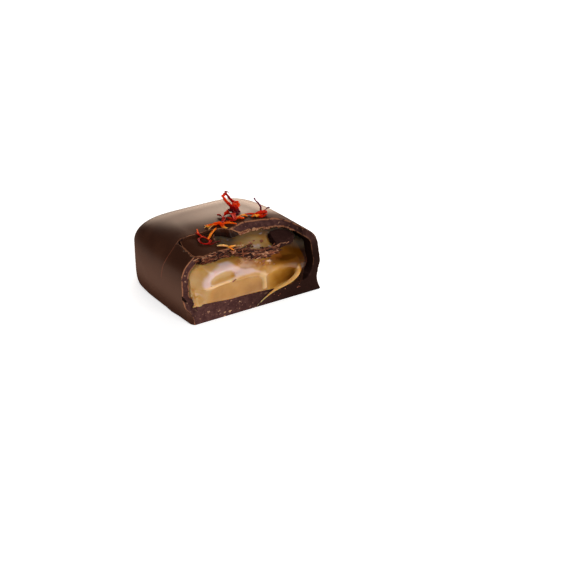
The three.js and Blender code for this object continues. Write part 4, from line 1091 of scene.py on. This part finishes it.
def smooth_line(points, places):
    """Places along a smooth curve through the points; places run from 0 to 1."""
    points = np.array(points, float)
    padded = np.concatenate([[2 * points[0] - points[1]], points, [2 * points[-1] - points[-2]]])
    where = np.asarray(places) * (len(points) - 1)
    first = np.minimum(where.astype(int), len(points) - 2)
    t = (where - first)[:, None]
    p0, p1, p2, p3 = (padded[first + k] for k in range(4))
    bend = 2 * p0 - 5 * p1 + 4 * p2 - p3
    twist = 3 * p1 - p0 - 3 * p2 + p3
    return 0.5 * (2 * p1 + (p2 - p0) * t + bend * t ** 2 + twist * t ** 3)


def petal(ground, places, widths, tints, dice):
    """Points, faces and marks of one thin strip, curled along its length and frayed."""
    count = 8 * len(places)  # rings of corners along it
    run = np.linspace(0, 1, count)
    line = smooth_line(places, run)
    line[:, 2] += ground(line[:, 0], line[:, 1])
    width = 1.5 * np.interp(run, np.linspace(0, 1, len(widths)), widths)
    tint = np.interp(run, np.linspace(0, 1, len(tints)), tints)
    ahead = np.gradient(line, axis=0)
    ahead /= np.linalg.norm(ahead, axis=1)[:, None]
    side = np.cross(ahead, (0.3, 0.5, 0.8))
    side /= np.linalg.norm(side, axis=1)[:, None]
    up = np.cross(side, ahead)
    lean = dice.uniform(-0.5, 0.5) + dice.uniform(-0.8, 0.8) * run
    side, up = (side * np.cos(lean)[:, None] + up * np.sin(lean)[:, None],
                up * np.cos(lean)[:, None] - side * np.sin(lean)[:, None])
    across = np.array([-1, -0.72, -0.35, 0, 0.35, 0.72, 1])
    curl = dice.uniform(0.9, 1.6)
    seed = int(dice.integers(0, 30))
    thick = 0.05
    loops = []
    for level, order in ((1, across), (-1, across[::-1])):
        for place in order:
            frayed = width * (1 + 0.22 * lumps(run * count * 0.35, place * 2, seed, 1.0, seed % 7))
            wide = frayed / 2 * np.sin(curl * place) / curl * 1.25
            rise = frayed / 2 * (1 - np.cos(curl * place)) / curl
            rib = 0.05 * width * lumps(run * 3, place * 6 + seed, 0, 1.0, 3)
            height = rise + rib + level * thick * (1 - 0.6 * place ** 2)
            loops.append(line + side * wide[:, None] + up * height[:, None])
    around = len(loops)
    points = np.stack(loops, 1).reshape(-1, 3)
    faces = []
    for k in range(count - 1):
        for j in range(around):
            nearer, farther = k * around, (k + 1) * around
            faces.append((nearer + j, nearer + (j + 1) % around, farther + (j + 1) % around, farther + j))
    faces.append(tuple(range(around))[::-1])
    faces.append(tuple((count - 1) * around + j for j in range(around)))
    across = np.concatenate([across, across[::-1]])
    marks = {
        "tint": np.repeat(tint, around), "across": np.tile(across, count),
        "run": np.repeat(run * count * 0.1, around),
    }
    return points, faces, marks


def dried_petal():
    """Dried petal. It is thin enough for some light to come through, matte, and streaked
    along its length from purple-red through red and orange to pale yellow."""
    material, tree, output = new_material("dried_saffron_petal")
    tint, across, run = (
        add(tree, "Attribute", attribute_name=mark).outputs["Fac"]
        for mark in ("tint", "across", "run"))
    spread = add(tree, "CombineXYZ", {0: across, 1: run, 2: tint})
    streaks = add(tree, "TexNoise", {"Vector": spread, "Scale": 2.6, "Detail": 3.0}).outputs[0]
    shade = add(tree, "Math", {0: streaks, 1: 0.34, 2: tint}, operation="MULTIPLY_ADD")
    shade = add(tree, "Math", {0: shade, 1: 0.17}, operation="SUBTRACT")
    ramp = add(tree, "ValToRGB", {"Fac": shade})
    first, last = ramp.color_ramp.elements
    first.color, last.color = linear("#5a1a3c"), linear("#ecc084")
    for position, code in ((0.12, "#4a0d0a"), (0.35, "#a80a04"), (0.62, "#ee4600"), (0.82, "#f49628")):
        ramp.color_ramp.elements.new(position).color = linear(code)
    surface = add(tree, "BsdfPrincipled", {
        "Base Color": ramp, "Roughness": 0.6, "IOR": 1.45, "Specular IOR Level": 0.1,
        "Subsurface Weight": 0.35, "Subsurface Radius": (1.0, 0.4, 0.15), "Subsurface Scale": 0.25 * MM})
    tree.links.new(surface.outputs[0], output.inputs[0])
    return material


def plate_height(x, y):
    """Height of the fallen plate's top."""
    return roof_height(x, y) - drop(PLATE, x, y)


dice = np.random.default_rng(17)
blocks = []
for ground, strips in ((roof_height, ON_ROOF), (plate_height, ON_PLATE)):
    for places, widths, tints in strips:
        blocks.append(petal(ground, places, widths, tints, dice))
starts = np.cumsum([0] + [len(block[0]) for block in blocks])
points = np.concatenate([block[0] for block in blocks])
faces = [[start + k for k in face] for block, start in zip(blocks, starts) for face in block[1]]
marks = {
    name: np.concatenate([block[2][name] for block in blocks]) for name in ("tint", "across", "run")}
threads = make_piece("saffron_threads", points, faces, marks, dried_petal())
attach(threads, "root")


# ---------- table, light and camera ----------
# A plain white table top under soft studio light: a wide panel behind the sweet, whose
# reflection gives the roof its pale sheen, and a soft box in front that lights the cut.

TABLE_REACH = 3.0  # metres, so that its edge is out of sight
floor_mesh = bpy.data.meshes.new("table_top")
table_corners = [(TABLE_REACH * a, TABLE_REACH * b, 0) for a, b in ((-1, -1), (1, -1), (1, 1), (-1, 1))]
floor_mesh.from_pydata(table_corners, [], [(0, 1, 2, 3)])
table_top = bpy.data.objects.new("table_top", floor_mesh)
table_top.location.z = -0.02 * MM  # just clear of the sweet's underside
bpy.context.scene.collection.objects.link(table_top)
white, tree, output = new_material("white_table_top")
surface = add(tree, "BsdfPrincipled", {
    "Base Color": linear("#f0f0f0"), "Roughness": 0.9, "Specular IOR Level": 0.1,
    "Emission Color": linear("#ffffff"), "Emission Strength": 0.6})
tree.links.new(surface.outputs[0], output.inputs[0])
floor_mesh.materials.append(white)

MIDDLE = Vector((0, CUT + 8, 6)) * MM  # what the lights are aimed at


def soft_light(name, direction, distance, width, height, radiance, colour):
    """An area light aimed at the sweet, its power worked out from how bright it looks."""
    data = bpy.data.lights.new(name, "AREA")
    data.shape = "RECTANGLE"
    data.size = width
    data.size_y = height
    data.energy = radiance * math.pi * width * height
    data.color = linear(colour)[:3]
    light = bpy.data.objects.new(name, data)
    towards = Vector(direction).normalized()
    light.location = MIDDLE + towards * distance
    light.rotation_euler = towards.to_track_quat("Z", "Y").to_euler()
    bpy.context.scene.collection.objects.link(light)


soft_light(
    "panel_behind", (0.80, 0.60, 0.28), distance=1.0, width=1.9, height=0.5, radiance=6.3,
    colour="#fff0e4")
soft_light(
    "soft_box_in_front", (-0.12, -0.85, 0.48), distance=0.8, width=0.75, height=0.6, radiance=3.2,
    colour="#ffffff")

world = bpy.data.worlds.new("studio")
bpy.context.scene.world = world
world.use_nodes = True
background = world.node_tree.nodes["Background"].inputs
background["Color"].default_value = linear("#ffffff")
background["Strength"].default_value = 0.2

# The camera looks down at the cut's left corner.
CAMERA_PLACE = (-138.32, -212.07, 123.36)
CAMERA_TURN = math.radians(34.32)
CAMERA_DOWN = math.radians(25.31)
camera_data = bpy.data.cameras.new("camera")
camera_data.sensor_width = 36
camera_data.lens = 100
camera_data.clip_start = 0.01
camera = bpy.data.objects.new("camera", camera_data)
camera.location = Vector((CAMERA_PLACE[0], CAMERA_PLACE[1] + CUT, CAMERA_PLACE[2])) * MM
camera.rotation_euler = (math.pi / 2 - CAMERA_DOWN, 0, -CAMERA_TURN)
bpy.context.scene.collection.objects.link(camera)
bpy.context.scene.camera = camera
bpy.context.scene.view_settings.view_transform = "Standard"
